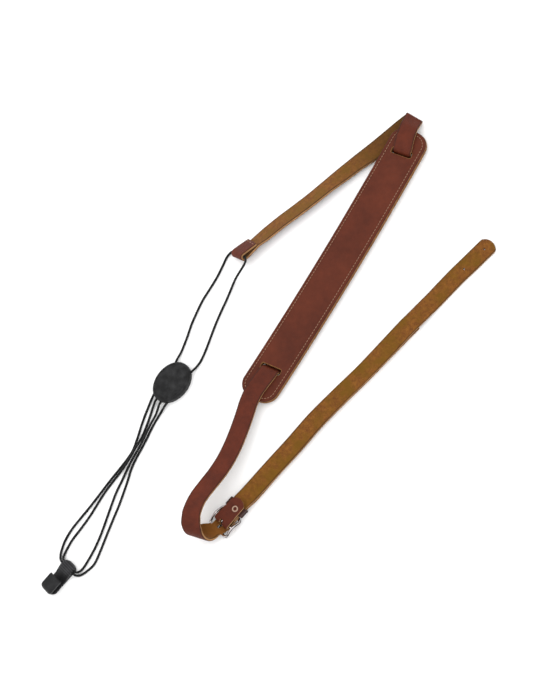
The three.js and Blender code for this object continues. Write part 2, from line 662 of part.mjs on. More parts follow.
/** Hook on its back: a head with a cross hole, a flat shank, a bend and the tip plate above. */
function soundholeHook() {
  const high = HOOK.plate + HOOK.gap + HOOK.tip;
  const round = high / 2;
  const bendAt = HOOK.length - round;
  const inner = HOOK.gap / 2;
  const side = new THREE.Shape();
  side.moveTo(1.6, 0);
  side.lineTo(bendAt, 0);
  side.absarc(bendAt, round, round, -Math.PI / 2, Math.PI / 2, false);
  side.lineTo(HOOK.tipFrom + 0.8, high);
  side.absarc(HOOK.tipFrom + 0.8, high - 1.1, 1.1, Math.PI / 2, 3 * Math.PI / 2, false);
  side.lineTo(bendAt, HOOK.plate + HOOK.gap);
  side.absarc(bendAt, HOOK.plate + inner, inner, Math.PI / 2, -Math.PI / 2, true);
  side.lineTo(HOOK.head + HOOK.slope, HOOK.plate);
  side.lineTo(HOOK.head + 1, HOOK.headHeight - 0.8);
  side.lineTo(HOOK.head - 1.6, HOOK.headHeight);
  side.lineTo(1.6, HOOK.headHeight);
  side.lineTo(0, HOOK.headHeight - 1.6);
  side.lineTo(0, 1.6);
  const body = new THREE.ExtrudeGeometry(side, { depth: HOOK.width, bevelEnabled: false, curveSegments: 6 });
  const forward = aim(HOOK.heading);
  const right = aim(HOOK.heading - 90);
  const place = vec(HOOK.x, HOOK.y, 0);
  const upright = new THREE.Matrix4().makeBasis(forward, vec(0, 0, 1), right);
  upright.setPosition(place.clone().addScaledVector(right, -HOOK.width / 2));
  body.applyMatrix4(upright);
  const plan = new THREE.Shape(roundedLoop(HOOK.length / 2, HOOK.width / 2, HOOK.corner, 4, 40)
    .map(([along, across]) => new THREE.Vector2(along + HOOK.length / 2, across)));
  const punch = new THREE.ExtrudeGeometry(plan, { depth: 20, bevelEnabled: false });
  punch.applyMatrix4(standing(place.clone().setZ(-1), HOOK.heading));
  const half = (HOOK_HOLE.length - HOOK_HOLE.height) / 2;
  const slot = new THREE.Shape();
  slot.absarc(half, 0, HOOK_HOLE.height / 2, -Math.PI / 2, Math.PI / 2, false);
  slot.absarc(-half, 0, HOOK_HOLE.height / 2, Math.PI / 2, 3 * Math.PI / 2, false);
  const hole = new THREE.ExtrudeGeometry(slot, { depth: 20, bevelEnabled: false, curveSegments: 5 });
  const through = new THREE.Matrix4().makeBasis(forward, vec(0, 0, 1), right);
  through.setPosition(place.clone().addScaledVector(forward, HOOK_HOLE.along)
    .addScaledVector(right, -10).setZ(HOOK_HOLE.z));
  hole.applyMatrix4(through);
  return toGeometry(toManifold(body).intersect(toManifold(punch)).subtract(toManifold(hole)));
}

// Points along the middle of each cord: x, y, z
const STRAP_LOOP = [
  [-144.3, -27.4, 3.2],
  [-143, -24.4, 3.15],
  [-141.4, -20, 2.2],
  [-138.9, -14.7, 1.05],
  [-133.6, -1.5, 1.05],
  [-130, 9, 1.05],
  [-125.4, 19.3, 1.05],
  [-120.2, 29.6, 1.05],
  [-113.5, 39.7, 1.05],
  [-107.1, 49.8, 1.05],
  [-101.9, 60, 1.05],
  [-98.9, 66.2, 1.05],
  [-96.5, 69, 1.15],
  [-94.2, 70.4, 1.8],
  [-92, 69.7, 2.6],
  [-90.1, 68.4, 3.8],
  [-87.1, 66.4, 5.7],
  [-84.2, 64.5, 7.5],
  [-81.4, 62.6, 9.2],
  [-79.5, 60.9, 10.6],
  [-78.4, 58.7, 11.5],
  [-78.9, 56.2, 11],
  [-81, 53.7, 9.4],
  [-84, 51, 7.2],
  [-86.9, 48.3, 5.3],
  [-89.7, 45.2, 3.7],
  [-92.9, 40.4, 1.9],
  [-96, 34, 1.05],
  [-98.9, 27.4, 1.05],
  [-103.8, 17.2, 1.05],
  [-108.3, 7, 1.05],
  [-112.3, -3.3, 1.05],
  [-116.2, -13.5, 1.05],
  [-120.8, -23.6, 1.1],
  [-124.6, -29.2, 1.8],
  [-128.1, -33, 3],
  [-131.3, -36.4, 3.2],
];
const HOOK_LOOP_OUTER = [
  [-158.5, -46.2, 3.2],
  [-161.6, -49.6, 3],
  [-164.6, -54.2, 1.9],
  [-167.4, -60, 1.05],
  [-170.3, -67, 1.05],
  [-173.7, -76.8, 1.05],
  [-176.8, -86.8, 1.05],
  [-180.3, -96.3, 1.05],
  [-183.6, -101.6, 1.05],
  [-191.6, -111.4, 1.05],
  [-200.2, -121.2, 1.05],
  [-208.2, -130.9, 1.05],
  [-216.2, -140.6, 1.05],
  [-224.8, -150.4, 1.05],
  [-233.2, -160, 1.05],
  [-239.4, -169.8, 1.05],
  [-242.6, -178.6, 1.05],
  [-243, -182.6, 1.4],
  [-242, -186.2, 2.4],
  [-239.3, -189.3, 3],
  [-235.1, -193.5, 3],
  [-230.8, -197.8, 3],
  [-227.6, -199.7, 2.2],
  [-223.8, -199.4, 1.3],
  [-218.9, -196.6, 1.05],
  [-212.4, -191, 1.05],
  [-207.7, -181.5, 1.05],
  [-203.7, -171.7, 1.05],
  [-199.7, -161.8, 1.05],
  [-195.5, -151.9, 1.05],
  [-191.4, -142.1, 1.05],
  [-187.8, -132.2, 1.05],
  [-184.4, -122.2, 1.05],
  [-181.3, -112.3, 1.05],
  [-176.6, -102.5, 1.05],
  [-173.7, -97.6, 1.05],
  [-168.2, -87.5, 1.05],
  [-163.2, -77.5, 1.05],
  [-156.9, -67.6, 1.3],
  [-151.6, -60.4, 2.9],
  [-148.1, -56, 3.2],
];
const HOOK_LOOP_INNER = [
  [-156.5, -51.2, 3.2],
  [-160, -54.9, 3],
  [-162.9, -60.4, 1.7],
  [-165.4, -67.2, 1.05],
  [-168.9, -77.1, 1.1],
  [-172.7, -87.1, 2.2],
  [-178, -96.6, 3.25],
  [-181.3, -102.2, 3.25],
  [-188.6, -111.8, 1.9],
  [-197, -121.5, 1.05],
  [-204.9, -131.3, 1.05],
  [-211.4, -141, 1.05],
  [-217.9, -150.8, 1.05],
  [-225.4, -160.5, 1.05],
  [-233.2, -170.1, 1.05],
  [-238.2, -178.6, 1.1],
  [-239.7, -182.6, 1.7],
  [-239.7, -185.4, 2.6],
  [-237.7, -187.8, 3],
  [-233.5, -191.9, 3],
  [-229.2, -196.2, 3],
  [-226.7, -197.2, 2.4],
  [-224.1, -195.9, 1.5],
  [-221.3, -192.7, 1.05],
  [-218, -187.7, 1.05],
  [-214, -181, 1.05],
  [-209.2, -171.3, 1.05],
  [-205.3, -161.5, 1.05],
  [-201.8, -151.6, 1.05],
  [-198.3, -141.7, 1.05],
  [-194.5, -131.8, 1.05],
  [-189.6, -121.9, 1.05],
  [-184.3, -112.2, 2.2],
  [-178.5, -102.4, 3.25],
  [-175.2, -97.4, 3.3],
  [-169.8, -87.3, 3.3],
  [-164.9, -77.3, 3.3],
  [-159.7, -67.6, 3],
  [-156.7, -58.8, 2.9],
  [-153.1, -54.5, 3.2],
];

function cord(route) {
  return openWire(route.map((p) => vec(...p)), CORD.radius, CORD.sides);
}

// ---- The assembly -------------------------------------------------------------------------
const part = new THREE.Group();
part.name = 'ukulele_strap';

function add(name, geometry, material) {
  const mesh = new THREE.Mesh(geometry, material);
  mesh.name = name;
  part.add(mesh);
}

const frontBed = PAD.bed + PAD.backThick + GAP;
add('shoulder_pad_top', padLayer(frontBed, PAD.frontThick, 0), grain());
add('shoulder_pad_back', padLayer(PAD.bed, PAD.backThick, PAD.backProud), suede());
add('long_strap', longStrap(), grain());
add('tail_strap', tailStrap(), grain());
add('buckle_frame', buckleFrame(), chrome());
add('buckle_prong', buckleProng(), chrome());
add('keeper_loop', keeperLoop(), grain());
add('rivet', rivet(), chrome());
add('cord_lock', cordLock(), plastic());
add('soundhole_hook', soundholeHook(), plastic());
add('cord_strap_loop', cord(STRAP_LOOP), cordBlack());
add('cord_hook_loop_outer', cord(HOOK_LOOP_OUTER), cordBlack());
add('cord_hook_loop_inner', cord(HOOK_LOOP_INNER), cordBlack());

export default part;
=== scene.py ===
import bpy
import numpy as np
from mathutils import Matrix, Vector


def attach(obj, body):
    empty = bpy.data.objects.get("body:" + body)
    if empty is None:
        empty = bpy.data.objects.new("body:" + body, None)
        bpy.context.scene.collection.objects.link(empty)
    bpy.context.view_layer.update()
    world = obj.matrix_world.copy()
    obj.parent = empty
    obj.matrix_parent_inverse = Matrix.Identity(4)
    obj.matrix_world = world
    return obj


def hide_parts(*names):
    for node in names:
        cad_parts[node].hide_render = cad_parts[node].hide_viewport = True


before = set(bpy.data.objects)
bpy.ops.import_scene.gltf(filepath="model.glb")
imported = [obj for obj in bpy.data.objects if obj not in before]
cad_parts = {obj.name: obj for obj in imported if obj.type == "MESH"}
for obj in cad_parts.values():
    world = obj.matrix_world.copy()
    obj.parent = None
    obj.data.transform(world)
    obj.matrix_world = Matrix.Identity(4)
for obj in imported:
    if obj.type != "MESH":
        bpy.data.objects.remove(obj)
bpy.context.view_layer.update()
MM = 0.001

# ---- Camera -------------------------------------------------------------------------------
# It looks down on the laid-out strap, 24 degrees off upright, from the lower right.
CAMERA = {
    "target": (-0.06, -0.02, 0.0), "distance": 1.2, "off_upright": 24, "azimuth": -45,
    "lens": 74.35, "shift": 0.5 / 700,
}


def bearing(heading, rise=0.0):
    """Unit vector of a heading in the plane and a rise above it, both in degrees."""
    flat, up = np.cos(np.radians(rise)), np.sin(np.radians(rise))
    return np.array([flat * np.cos(np.radians(heading)), flat * np.sin(np.radians(heading)), up])


def unit(vectors):
    """Vectors cut to length one, along the last axis."""
    return vectors / np.linalg.norm(vectors, axis=-1, keepdims=True)


towards = bearing(CAMERA["azimuth"], 90 - CAMERA["off_upright"])
up = unit(np.array([0, 1, 0]) - towards[1] * towards)
right = np.cross(up, towards)
camera = bpy.data.objects.new("camera", bpy.data.cameras.new("camera"))
bpy.context.scene.collection.objects.link(camera)
place = np.array(CAMERA["target"]) + CAMERA["distance"] * towards
columns = np.stack([right, up, towards, place], 1)
camera.matrix_world = Matrix(columns.tolist() + [[0, 0, 0, 1]])
camera.data.lens = CAMERA["lens"]
camera.data.shift_x, camera.data.shift_y = -CAMERA["shift"], CAMERA["shift"]
bpy.context.scene.camera = camera


# ---- Elastic cord -------------------------------------------------------------------------
# Three lengths of 2 mm elastic cord with a braided black cover. One is threaded through the end of
# the long strap; two run from the cord lock through the hook's head and back, one inside the other.
CORD_RADIUS = 1.0 * MM
CORD_SIDES = 14
CORD_STEP = 0.9 * MM
BRAID_PITCH = 1.5 * MM


class Value:
    """A number or colour that changes over a surface: it wraps a socket, and sums add Math nodes."""

    def __init__(self, finish, socket):
        self.finish, self.socket = finish, socket

    def math(self, operation, *values):
        return self.finish.node("ShaderNodeMath", {"operation": operation}, dict(enumerate(values)))

    def __add__(self, other):
        return self.math("ADD", self, other)

    def __sub__(self, other):
        return self.math("SUBTRACT", self, other)

    def __mul__(self, other):
        return self.math("MULTIPLY", self, other)

    def __rsub__(self, other):
        return self.math("SUBTRACT", other, self)

    __radd__, __rmul__ = __add__, __mul__

    def of(self, function, *values):
        """A named function of this number, such as SINE, ABSOLUTE or POWER."""
        return self.math(function, self, *values)

    def step(self, low, high):
        """Smooth step from 0 below the first number to 1 above the second."""
        return self.finish.node(
            "ShaderNodeMapRange", {"interpolation_type": "SMOOTHSTEP"}, {0: self, 1: low, 2: high})


class Finish:
    """A material built round one shader. Keywords are the shader's own constant sockets."""

    def __init__(self, name, **constants):
        self.material = bpy.data.materials.new(name)
        self.material.use_nodes = True
        self.tree = self.material.node_tree
        self.shader = self.tree.nodes["Principled BSDF"]
        for socket, number in constants.items():
            named = socket.replace("_", " ").title().replace("Ior", "IOR")
            self.shader.inputs[named].default_value = number

    def node(self, kind, settings=None, sockets=None, output=0):
        """A node of a type, its settings made first, then the numbers or links of its sockets."""
        made = self.tree.nodes.new(kind)
        for setting, value in (settings or {}).items():
            setattr(made, setting, value)
        for socket, value in (sockets or {}).items():
            self.feed(made.inputs[socket], value)
        return Value(self, made.outputs[output])

    def feed(self, socket, value):
        if isinstance(value, Value):
            self.tree.links.new(value.socket, socket)
        else:
            socket.default_value = value

    def place(self):
        """Where a point is on the object, in metres."""
        return self.node("ShaderNodeTexCoord", output="Object")

    def along_across(self):
        """Distance along and across the piece, from its own map, in metres."""
        split = self.node("ShaderNodeSeparateXYZ", sockets={0: self.node("ShaderNodeUVMap")})
        return split, Value(self, split.socket.node.outputs[1])

    def noise(self, size, detail=3.0, roughness=0.5):
        """Cloudy noise from 0 to 1 whose patches are about that many metres across."""
        sockets = {"Vector": self.place(), "Scale": 1 / size, "Detail": detail, "Roughness": roughness}
        return self.node("ShaderNodeTexNoise", sockets=sockets)

    def mix(self, share, first, second):
        """Colour between two colours."""
        sockets = {0: share, 6: first, 7: second}
        return self.node("ShaderNodeMix", {"data_type": "RGBA"}, sockets, output=2)

    def relief(self, height, depth):
        """Bumps of a height from 0 to 1 and a depth in metres."""
        sockets = {"Height": height, "Distance": depth, "Strength": 1.0}
        self.feed(self.shader.inputs["Normal"], self.node("ShaderNodeBump", sockets=sockets))

    def colour(self, value):
        self.feed(self.shader.inputs["Base Color"], value)

    def roughness(self, value):
        self.feed(self.shader.inputs["Roughness"], value)


def tint(red, green, blue):
    """Colour given in the 0 to 255 steps of a paint chart, turned to linear light."""
    chart = np.array([red, green, blue]) / 255
    linear = np.where(chart <= 0.04045, chart / 12.92, ((chart + 0.055) / 1.055) ** 2.4)
    return (*linear.tolist(), 1.0)


def through(points, step):
    """Smooth curve through points: cubic pieces whose slope at a point follows its neighbours."""
    points = np.asarray(points, float)
    gone = np.concatenate([[0], np.cumsum(np.linalg.norm(np.diff(points[:, :3], axis=0), axis=1))])
    order = np.arange(len(points))
    before, after = np.maximum(order - 1, 0), np.minimum(order + 1, len(points) - 1)
    slope = (points[after] - points[before]) / (gone[after] - gone[before])[:, None]
    parts = np.maximum(1, np.ceil(np.diff(gone) / step).astype(int))
    piece = np.repeat(order[:-1], parts)
    share = (np.arange(parts.sum()) - np.repeat(np.cumsum(parts) - parts, parts)) / parts[piece]
    piece, share = np.append(piece, len(points) - 2), np.append(share, 1.0)[:, None]
    span = np.diff(gone)[piece][:, None]
    made = (
        points[piece] * (2 * share**3 - 3 * share**2 + 1)
        + points[piece + 1] * (3 * share**2 - 2 * share**3)
        + span * (share**3 - 2 * share**2 + share) * slope[piece]
        + span * (share**3 - share**2) * slope[piece + 1]
    )
    return made, gone[piece] + share[:, 0] * span[:, 0]


def surface(name, rings, finishes, marks=None, kinds=None, closed=False, crease=40):
    """Piece whose skin runs over rings of points in turn.

    Each quad joins two neighbours of a ring with the same two of the next ring. The last ring
    joins the first, or the end rings are closed by quads across them. marks is each point's place
    along and across, with one column more than the ring; kinds is the finish of each column.
    """
    rings = np.asarray(rings, float)
    count, sides = rings.shape[:2]
    marks = np.zeros((count + closed, sides + 1, 2)) if marks is None else np.asarray(marks, float)
    index = np.arange(count * sides).reshape(count, sides)
    index = np.vstack([index, index[:1]]) if closed else index
    beside = np.roll(index, -1, 1)
    quads = np.stack([index[:-1], beside[:-1], beside[1:], index[1:]], -1).reshape(-1, 4)
    corners = np.stack([marks[:-1, :-1], marks[:-1, 1:], marks[1:, 1:], marks[1:, :-1]], -2)
    corners = corners.reshape(-1, 4, 2)
    column = np.zeros(sides, int) if kinds is None else np.asarray(kinds)
    slots = np.tile(column, len(index) - 1)
    if not closed:
        left = np.arange(sides // 2 - 1)
        across = np.stack([left, sides - 1 - left, sides - 2 - left, left + 1], -1)
        last = (count - 1) * sides
        quads = np.vstack([quads, across, last + across[:, ::-1]])
        corners = np.vstack([corners, marks[0][across], marks[-1][across[:, ::-1]]])
        slots = np.append(slots, np.full(2 * len(left), column.max()))
    points = rings.reshape(-1, 3)
    p = points[quads]
    volume = np.einsum("ij,ij->", p[:, 0], np.cross(p[:, 1], p[:, 2]) + np.cross(p[:, 2], p[:, 3]))
    if volume < 0:
        quads, corners = quads[:, ::-1], corners[:, ::-1]
    mesh = bpy.data.meshes.new(name)
    mesh.from_pydata(points.tolist(), [], quads.tolist())
    mesh.polygons.foreach_set("material_index", slots.astype(np.int32))
    mesh.uv_layers.new(name="along_across").data.foreach_set("uv", corners.reshape(-1))
    for finish in finishes:
        mesh.materials.append(finish.material)
    mesh.shade_smooth()
    mesh.set_sharp_from_angle(angle=np.radians(crease))
    mesh.update()
    made = bpy.data.objects.new(name, mesh)
    bpy.context.scene.collection.objects.link(made)
    return made


def wire_rings(path, radius, sides, upright=(0, 0, 1), closed=False):
    """Rings round a path: radius times cosine outward and sine upward of evenly spaced angles."""
    path = np.asarray(path, float)
    ahead = np.roll(path, -1, 0) - np.roll(path, 1, 0) if closed else np.gradient(path, axis=0)
    outward = unit(np.cross(ahead, np.asarray(upright, float)))
    upward = unit(np.cross(outward, ahead))
    turn = np.linspace(0, 2 * np.pi, sides, endpoint=False)[None, :, None]
    radius = np.broadcast_to(np.asarray(radius, float).reshape(-1, 1, 1), (len(path), 1, 1))
    around = np.cos(turn) * outward[:, None] + np.sin(turn) * upward[:, None]
    return path[:, None] + radius * around


def round_marks(count, sides, gone):
    """Place along, in metres, and round, from 0 to 1, of the points of rings."""
    along = np.broadcast_to(np.asarray(gone).reshape(-1, 1), (count, sides + 1))
    return np.stack([along, np.broadcast_to(np.linspace(0, 1, sides + 1), along.shape)], -1)


cord_cover = Finish("braided_cord", specular_ior_level=0.2, sheen_weight=0.08, sheen_roughness=0.5)
cord_along, cord_round = cord_cover.along_across()
left_strands = (cord_along * (2 * np.pi / BRAID_PITCH) + cord_round * (8 * np.pi)).of("SINE")
right_strands = (cord_along * (2 * np.pi / BRAID_PITCH) - cord_round * (8 * np.pi)).of("SINE")
braid = (left_strands * right_strands) * 0.5 + 0.5
fuzz = cord_cover.noise(0.35 * MM, 4.0)
cord_shade = braid * 0.6 + fuzz * 0.4
cord_cover.colour(cord_cover.mix(cord_shade, tint(3, 3, 3), tint(22, 22, 23)))
cord_cover.roughness(cord_shade * -0.2 + 0.9)
cord_cover.relief(cord_shade, 0.12 * MM)

# Points along the middle of each cord, in millimetres: x, y, z
STRAP_LOOP = np.array([
    [-144.3, -27.4, 3.2],
    [-143, -24.4, 3.15],
    [-141.4, -20, 2.2],
    [-138.9, -14.7, 1.05],
    [-133.6, -1.5, 1.05],
    [-130, 9, 1.05],
    [-125.4, 19.3, 1.05],
    [-120.2, 29.6, 1.05],
    [-113.5, 39.7, 1.05],
    [-107.1, 49.8, 1.05],
    [-101.9, 60, 1.05],
    [-98.9, 66.2, 1.05],
    [-96.5, 69, 1.15],
    [-94.2, 70.4, 1.8],
    [-92, 69.7, 2.6],
    [-90.1, 68.4, 3.8],
    [-87.1, 66.4, 5.7],
    [-84.2, 64.5, 7.5],
    [-81.4, 62.6, 9.2],
    [-79.5, 60.9, 10.6],
    [-78.4, 58.7, 11.5],
    [-78.9, 56.2, 11],
    [-81, 53.7, 9.4],
    [-84, 51, 7.2],
    [-86.9, 48.3, 5.3],
    [-89.7, 45.2, 3.7],
    [-92.9, 40.4, 1.9],
    [-96, 34, 1.05],
    [-98.9, 27.4, 1.05],
    [-103.8, 17.2, 1.05],
    [-108.3, 7, 1.05],
    [-112.3, -3.3, 1.05],
    [-116.2, -13.5, 1.05],
    [-120.8, -23.6, 1.1],
    [-124.6, -29.2, 1.8],
    [-128.1, -33, 3],
    [-131.3, -36.4, 3.2],
]) * MM
HOOK_LOOP_OUTER = np.array([
    [-158.5, -46.2, 3.2],
    [-161.6, -49.6, 3],
    [-164.6, -54.2, 1.9],
    [-167.4, -60, 1.05],
    [-170.3, -67, 1.05],
    [-173.7, -76.8, 1.05],
    [-176.8, -86.8, 1.05],
    [-180.3, -96.3, 1.05],
    [-183.6, -101.6, 1.05],
    [-191.6, -111.4, 1.05],
    [-200.2, -121.2, 1.05],
    [-208.2, -130.9, 1.05],
    [-216.2, -140.6, 1.05],
    [-224.8, -150.4, 1.05],
    [-233.2, -160, 1.05],
    [-239.4, -169.8, 1.05],
    [-242.6, -178.6, 1.05],
    [-243, -182.6, 1.4],
    [-242, -186.2, 2.4],
    [-239.3, -189.3, 3],
    [-235.1, -193.5, 3],
    [-230.8, -197.8, 3],
    [-227.6, -199.7, 2.2],
    [-223.8, -199.4, 1.3],
    [-218.9, -196.6, 1.05],
    [-212.4, -191, 1.05],
    [-207.7, -181.5, 1.05],
    [-203.7, -171.7, 1.05],
    [-199.7, -161.8, 1.05],
    [-195.5, -151.9, 1.05],
    [-191.4, -142.1, 1.05],
    [-187.8, -132.2, 1.05],
    [-184.4, -122.2, 1.05],
    [-181.3, -112.3, 1.05],
    [-176.6, -102.5, 1.05],
    [-173.7, -97.6, 1.05],
    [-168.2, -87.5, 1.05],
    [-163.2, -77.5, 1.05],
    [-156.9, -67.6, 1.3],
    [-151.6, -60.4, 2.9],
    [-148.1, -56, 3.2],
]) * MM
HOOK_LOOP_INNER = np.array([
    [-156.5, -51.2, 3.2],
    [-160, -54.9, 3],
    [-162.9, -60.4, 1.7],
    [-165.4, -67.2, 1.05],
    [-168.9, -77.1, 1.1],
    [-172.7, -87.1, 2.2],
    [-178, -96.6, 3.25],
    [-181.3, -102.2, 3.25],
    [-188.6, -111.8, 1.9],
    [-197, -121.5, 1.05],
    [-204.9, -131.3, 1.05],
    [-211.4, -141, 1.05],
    [-217.9, -150.8, 1.05],
    [-225.4, -160.5, 1.05],
    [-233.2, -170.1, 1.05],
    [-238.2, -178.6, 1.1],
    [-239.7, -182.6, 1.7],
    [-239.7, -185.4, 2.6],
    [-237.7, -187.8, 3],
    [-233.5, -191.9, 3],
    [-229.2, -196.2, 3],
    [-226.7, -197.2, 2.4],
    [-224.1, -195.9, 1.5],
    [-221.3, -192.7, 1.05],
    [-218, -187.7, 1.05],
    [-214, -181, 1.05],
    [-209.2, -171.3, 1.05],
    [-205.3, -161.5, 1.05],
    [-201.8, -151.6, 1.05],
    [-198.3, -141.7, 1.05],
    [-194.5, -131.8, 1.05],
    [-189.6, -121.9, 1.05],
    [-184.3, -112.2, 2.2],
    [-178.5, -102.4, 3.25],
    [-175.2, -97.4, 3.3],
    [-169.8, -87.3, 3.3],
    [-164.9, -77.3, 3.3],
    [-159.7, -67.6, 3],
    [-156.7, -58.8, 2.9],
    [-153.1, -54.5, 3.2],
]) * MM


def finish_piece(piece, slot, *nodes):
    """Fixes a piece to the strap's only body and hides the CAD solids that it stands for; slot is not
    used.
    """
    if nodes:
        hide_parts(*nodes)
    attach(piece, "root")
    return piece


def cord(name, route):
    """Elastic cord on a smooth curve through a route, pulled tight nowhere."""
    path, gone = through(route, CORD_STEP)
    rings = wire_rings(path, CORD_RADIUS, CORD_SIDES)
    marks = round_marks(len(path), CORD_SIDES, gone)
    piece = finish_piece(surface(name + "_cord", rings, [cord_cover], marks), "black_cord", name)
    return piece


# ---- Cord lock ----------------------------------------------------------------------------
# A moulded black plastic oval that the cords plug into at both ends. Its top is slightly domed
# inside a raised rim line, and its field is bare.
LOCK = {"x": -145.6, "y": -41.3, "heading": 47, "long": 19, "short": 14.5, "sides": 96}
# upper and lower: how far to the right of the lock's axis each cord goes in
LOCK_HOLES = {
    "radius": 1.7, "depth": 5.6, "z": 3.2, "upper": [-9.1, 7.1], "lower": [-6.1, -1.2, 3.4, 8.1],
}


def local(origin, along, across, z=0.0):
    """Points at distances along and to the right of an origin's heading, in metres."""
    way, side = bearing(origin["heading"]), bearing(origin["heading"] - 90)
    base = np.array([origin["x"], origin["y"], 0.0])
    along, across, z = np.broadcast_arrays(along, across, z)
    flat = base + along[..., None] * way + across[..., None] * side
    return (flat + z[..., None] * np.array([0, 0, 1])) * MM


def moulded(name, specular):
    """Moulded plastic with a soft sheen, and its fine grain, its clouds and its pale scuffs."""
    made = Finish(name, specular_ior_level=specular)
    grain, cloud = made.noise(0.25 * MM, 2.0), made.noise(6 * MM, 4.0)
    made.roughness(cloud * 0.16 + 0.42)
    return made, grain, cloud, (cloud * 0.7 + grain * 0.3).step(0.35, 0.75)


def carve(piece, cutters):
    """Takes cutters away from a piece with Boolean modifiers, applied, and deletes them."""
    for cutter in cutters:
        tool = piece.modifiers.new("cut", "BOOLEAN")
        tool.operation, tool.solver, tool.object = "DIFFERENCE", "MANIFOLD", cutter
        tool.material_mode = "INDEX"
    kept = bpy.data.meshes.new_from_object(
        piece.evaluated_get(bpy.context.evaluated_depsgraph_get()))
    kept.name = piece.name
    piece.modifiers.clear()
    piece.data = kept
    for cutter in cutters:
        bpy.data.objects.remove(cutter)
    return piece


def peg(start, end, radius, finishes, kind=0, sides=20):
    """Round cutter between two points."""
    path = np.linspace(start, end, 3)
    upright = (1, 0, 0) if abs(end[2] - start[2]) > abs(end[0] - start[0]) else (0, 0, 1)
    rings = wire_rings(path, radius, sides, upright)
    return surface("cutter", rings, finishes, kinds=np.full(sides, kind))


lock_plastic, grain, cloud, scuffs = moulded("lock_plastic", 0.18)
lock_plastic.colour(lock_plastic.mix(scuffs, tint(7, 7, 8), tint(43, 43, 44)))
lock_plastic.relief(grain + cloud, 0.12 * MM)
# how far the outline is set in, height
LOCK_PROFILE = np.array([
    [9, 0],
    [1.2, 0],
    [0.5, 0.25],
    [0.1, 0.9],
    [0, 2.4],
    [0, 4.6],
    [0.1, 5.4],
    [0.45, 6.1],
    [1.0, 6.5],
    [1.6, 6.68],
    [2.0, 6.62],
    [2.25, 6.4],
    [2.5, 6.4],
    [2.8, 6.62],
    [3.6, 6.8],
    [5.5, 7.08],
    [8.5, 7.32],
    [11.5, 7.44],
    [13.0, 7.46],
])
turn = (np.arange(LOCK["sides"]) + 0.5) * 2 * np.pi / LOCK["sides"]
inset, lock_z = LOCK_PROFILE[:, 0, None], LOCK_PROFILE[:, 1, None]
lock_rings = local(
    LOCK, (LOCK["long"] - inset) * np.cos(turn), (LOCK["short"] - inset) * np.sin(turn), lock_z)
cord_lock = surface("lock_body", lock_rings, [lock_plastic], crease=60)
lock_cutters = []
for end, across in [(1, a) for a in LOCK_HOLES["upper"]] + [(-1, a) for a in LOCK_HOLES["lower"]]:
    rim = LOCK["long"] * np.sqrt(1 - (across / LOCK["short"]) ** 2)
    ends = local(LOCK, end * (rim + LOCK_HOLES["depth"] * np.array([-1, 1])), across, LOCK_HOLES["z"])
    lock_cutters.append(peg(*ends, LOCK_HOLES["radius"] * MM, [lock_plastic]))
finish_piece(carve(cord_lock, lock_cutters), "black_plastic", "cord_lock")

# ---- Sound-hole hook ----------------------------------------------------------------------
# A moulded black plastic hook on its back: a ribbed head that the two cords pass through, a flat
# shank, and a tip that turns back over it to hold the edge of the sound hole.
HOOK = {"x": -231.3, "y": -189.3, "heading": 226, "ribbed": 13, "rib": 1.9}

hook_plastic, grain, _, scuffs = moulded("hook_plastic", 0.2)
hook_way = bearing(HOOK["heading"])
reached = hook_plastic.node("ShaderNodeVectorMath", {"operation": "DOT_PRODUCT"},
                            {0: hook_plastic.place(), 1: tuple(hook_way)}, output="Value")
past_head = reached - float(local(HOOK, 0, 0) @ hook_way)
on_head = 1 - past_head.step(0.6 * HOOK["ribbed"] * MM, HOOK["ribbed"] * MM)
rib_relief_and_shine = ((past_head * (2 * np.pi / (HOOK["rib"] * MM))).of("SINE") * 0.5 + 0.5) * on_head
# Painted highlight: the rib crests on the head are painted lighter than their grooves, mixed with the
# pale scuffs.
hook_plastic.colour(hook_plastic.mix(rib_relief_and_shine * 0.55 + scuffs * 0.4, tint(14, 14, 15), tint(58, 58, 60)))
hook_plastic.relief(rib_relief_and_shine * 0.8 + grain * 0.15, 0.4 * MM)


def softened(node, name, finishes, width):
    """Copy of a CAD solid with its edges rounded: doubles merged, then a Bevel modifier applied."""
    source = bpy.data.objects[node].data
    points = np.empty(len(source.vertices) * 3, np.float32)
    source.vertices.foreach_get("co", points)
    keys, first, index = np.unique(
        np.round(points.reshape(-1, 3), 7), axis=0, return_index=True, return_inverse=True)
    corners = np.empty(len(source.loops), np.int32)
    source.loops.foreach_get("vertex_index", corners)
    faces = index.reshape(-1)[corners].reshape(-1, 3)
    kept = (faces[:, 0] != faces[:, 1]) & (faces[:, 1] != faces[:, 2]) & (faces[:, 2] != faces[:, 0])
    mesh = bpy.data.meshes.new(name)
    mesh.from_pydata(keys.tolist(), [], faces[kept].tolist())
    for finish in finishes:
        mesh.materials.append(finish.material)
    made = bpy.data.objects.new(name, mesh)
    bpy.context.scene.collection.objects.link(made)
    bevel = made.modifiers.new("rounded", "BEVEL")
    bevel.width, bevel.segments = width, 3
    bevel.limit_method, bevel.angle_limit = "ANGLE", np.radians(30)
    made.data = bpy.data.meshes.new_from_object(
        made.evaluated_get(bpy.context.evaluated_depsgraph_get()))
    made.modifiers.clear()
    made.data.shade_smooth()
    made.data.set_sharp_from_angle(angle=np.radians(50))
    return made


soundhole_hook = finish_piece(
    softened("soundhole_hook", "hook_body", [hook_plastic], 0.35 * MM),
    "black_plastic", "soundhole_hook")

cord("cord_strap_loop", STRAP_LOOP)
cord("cord_hook_loop_outer", HOOK_LOOP_OUTER)
cord("cord_hook_loop_inner", HOOK_LOOP_INNER)

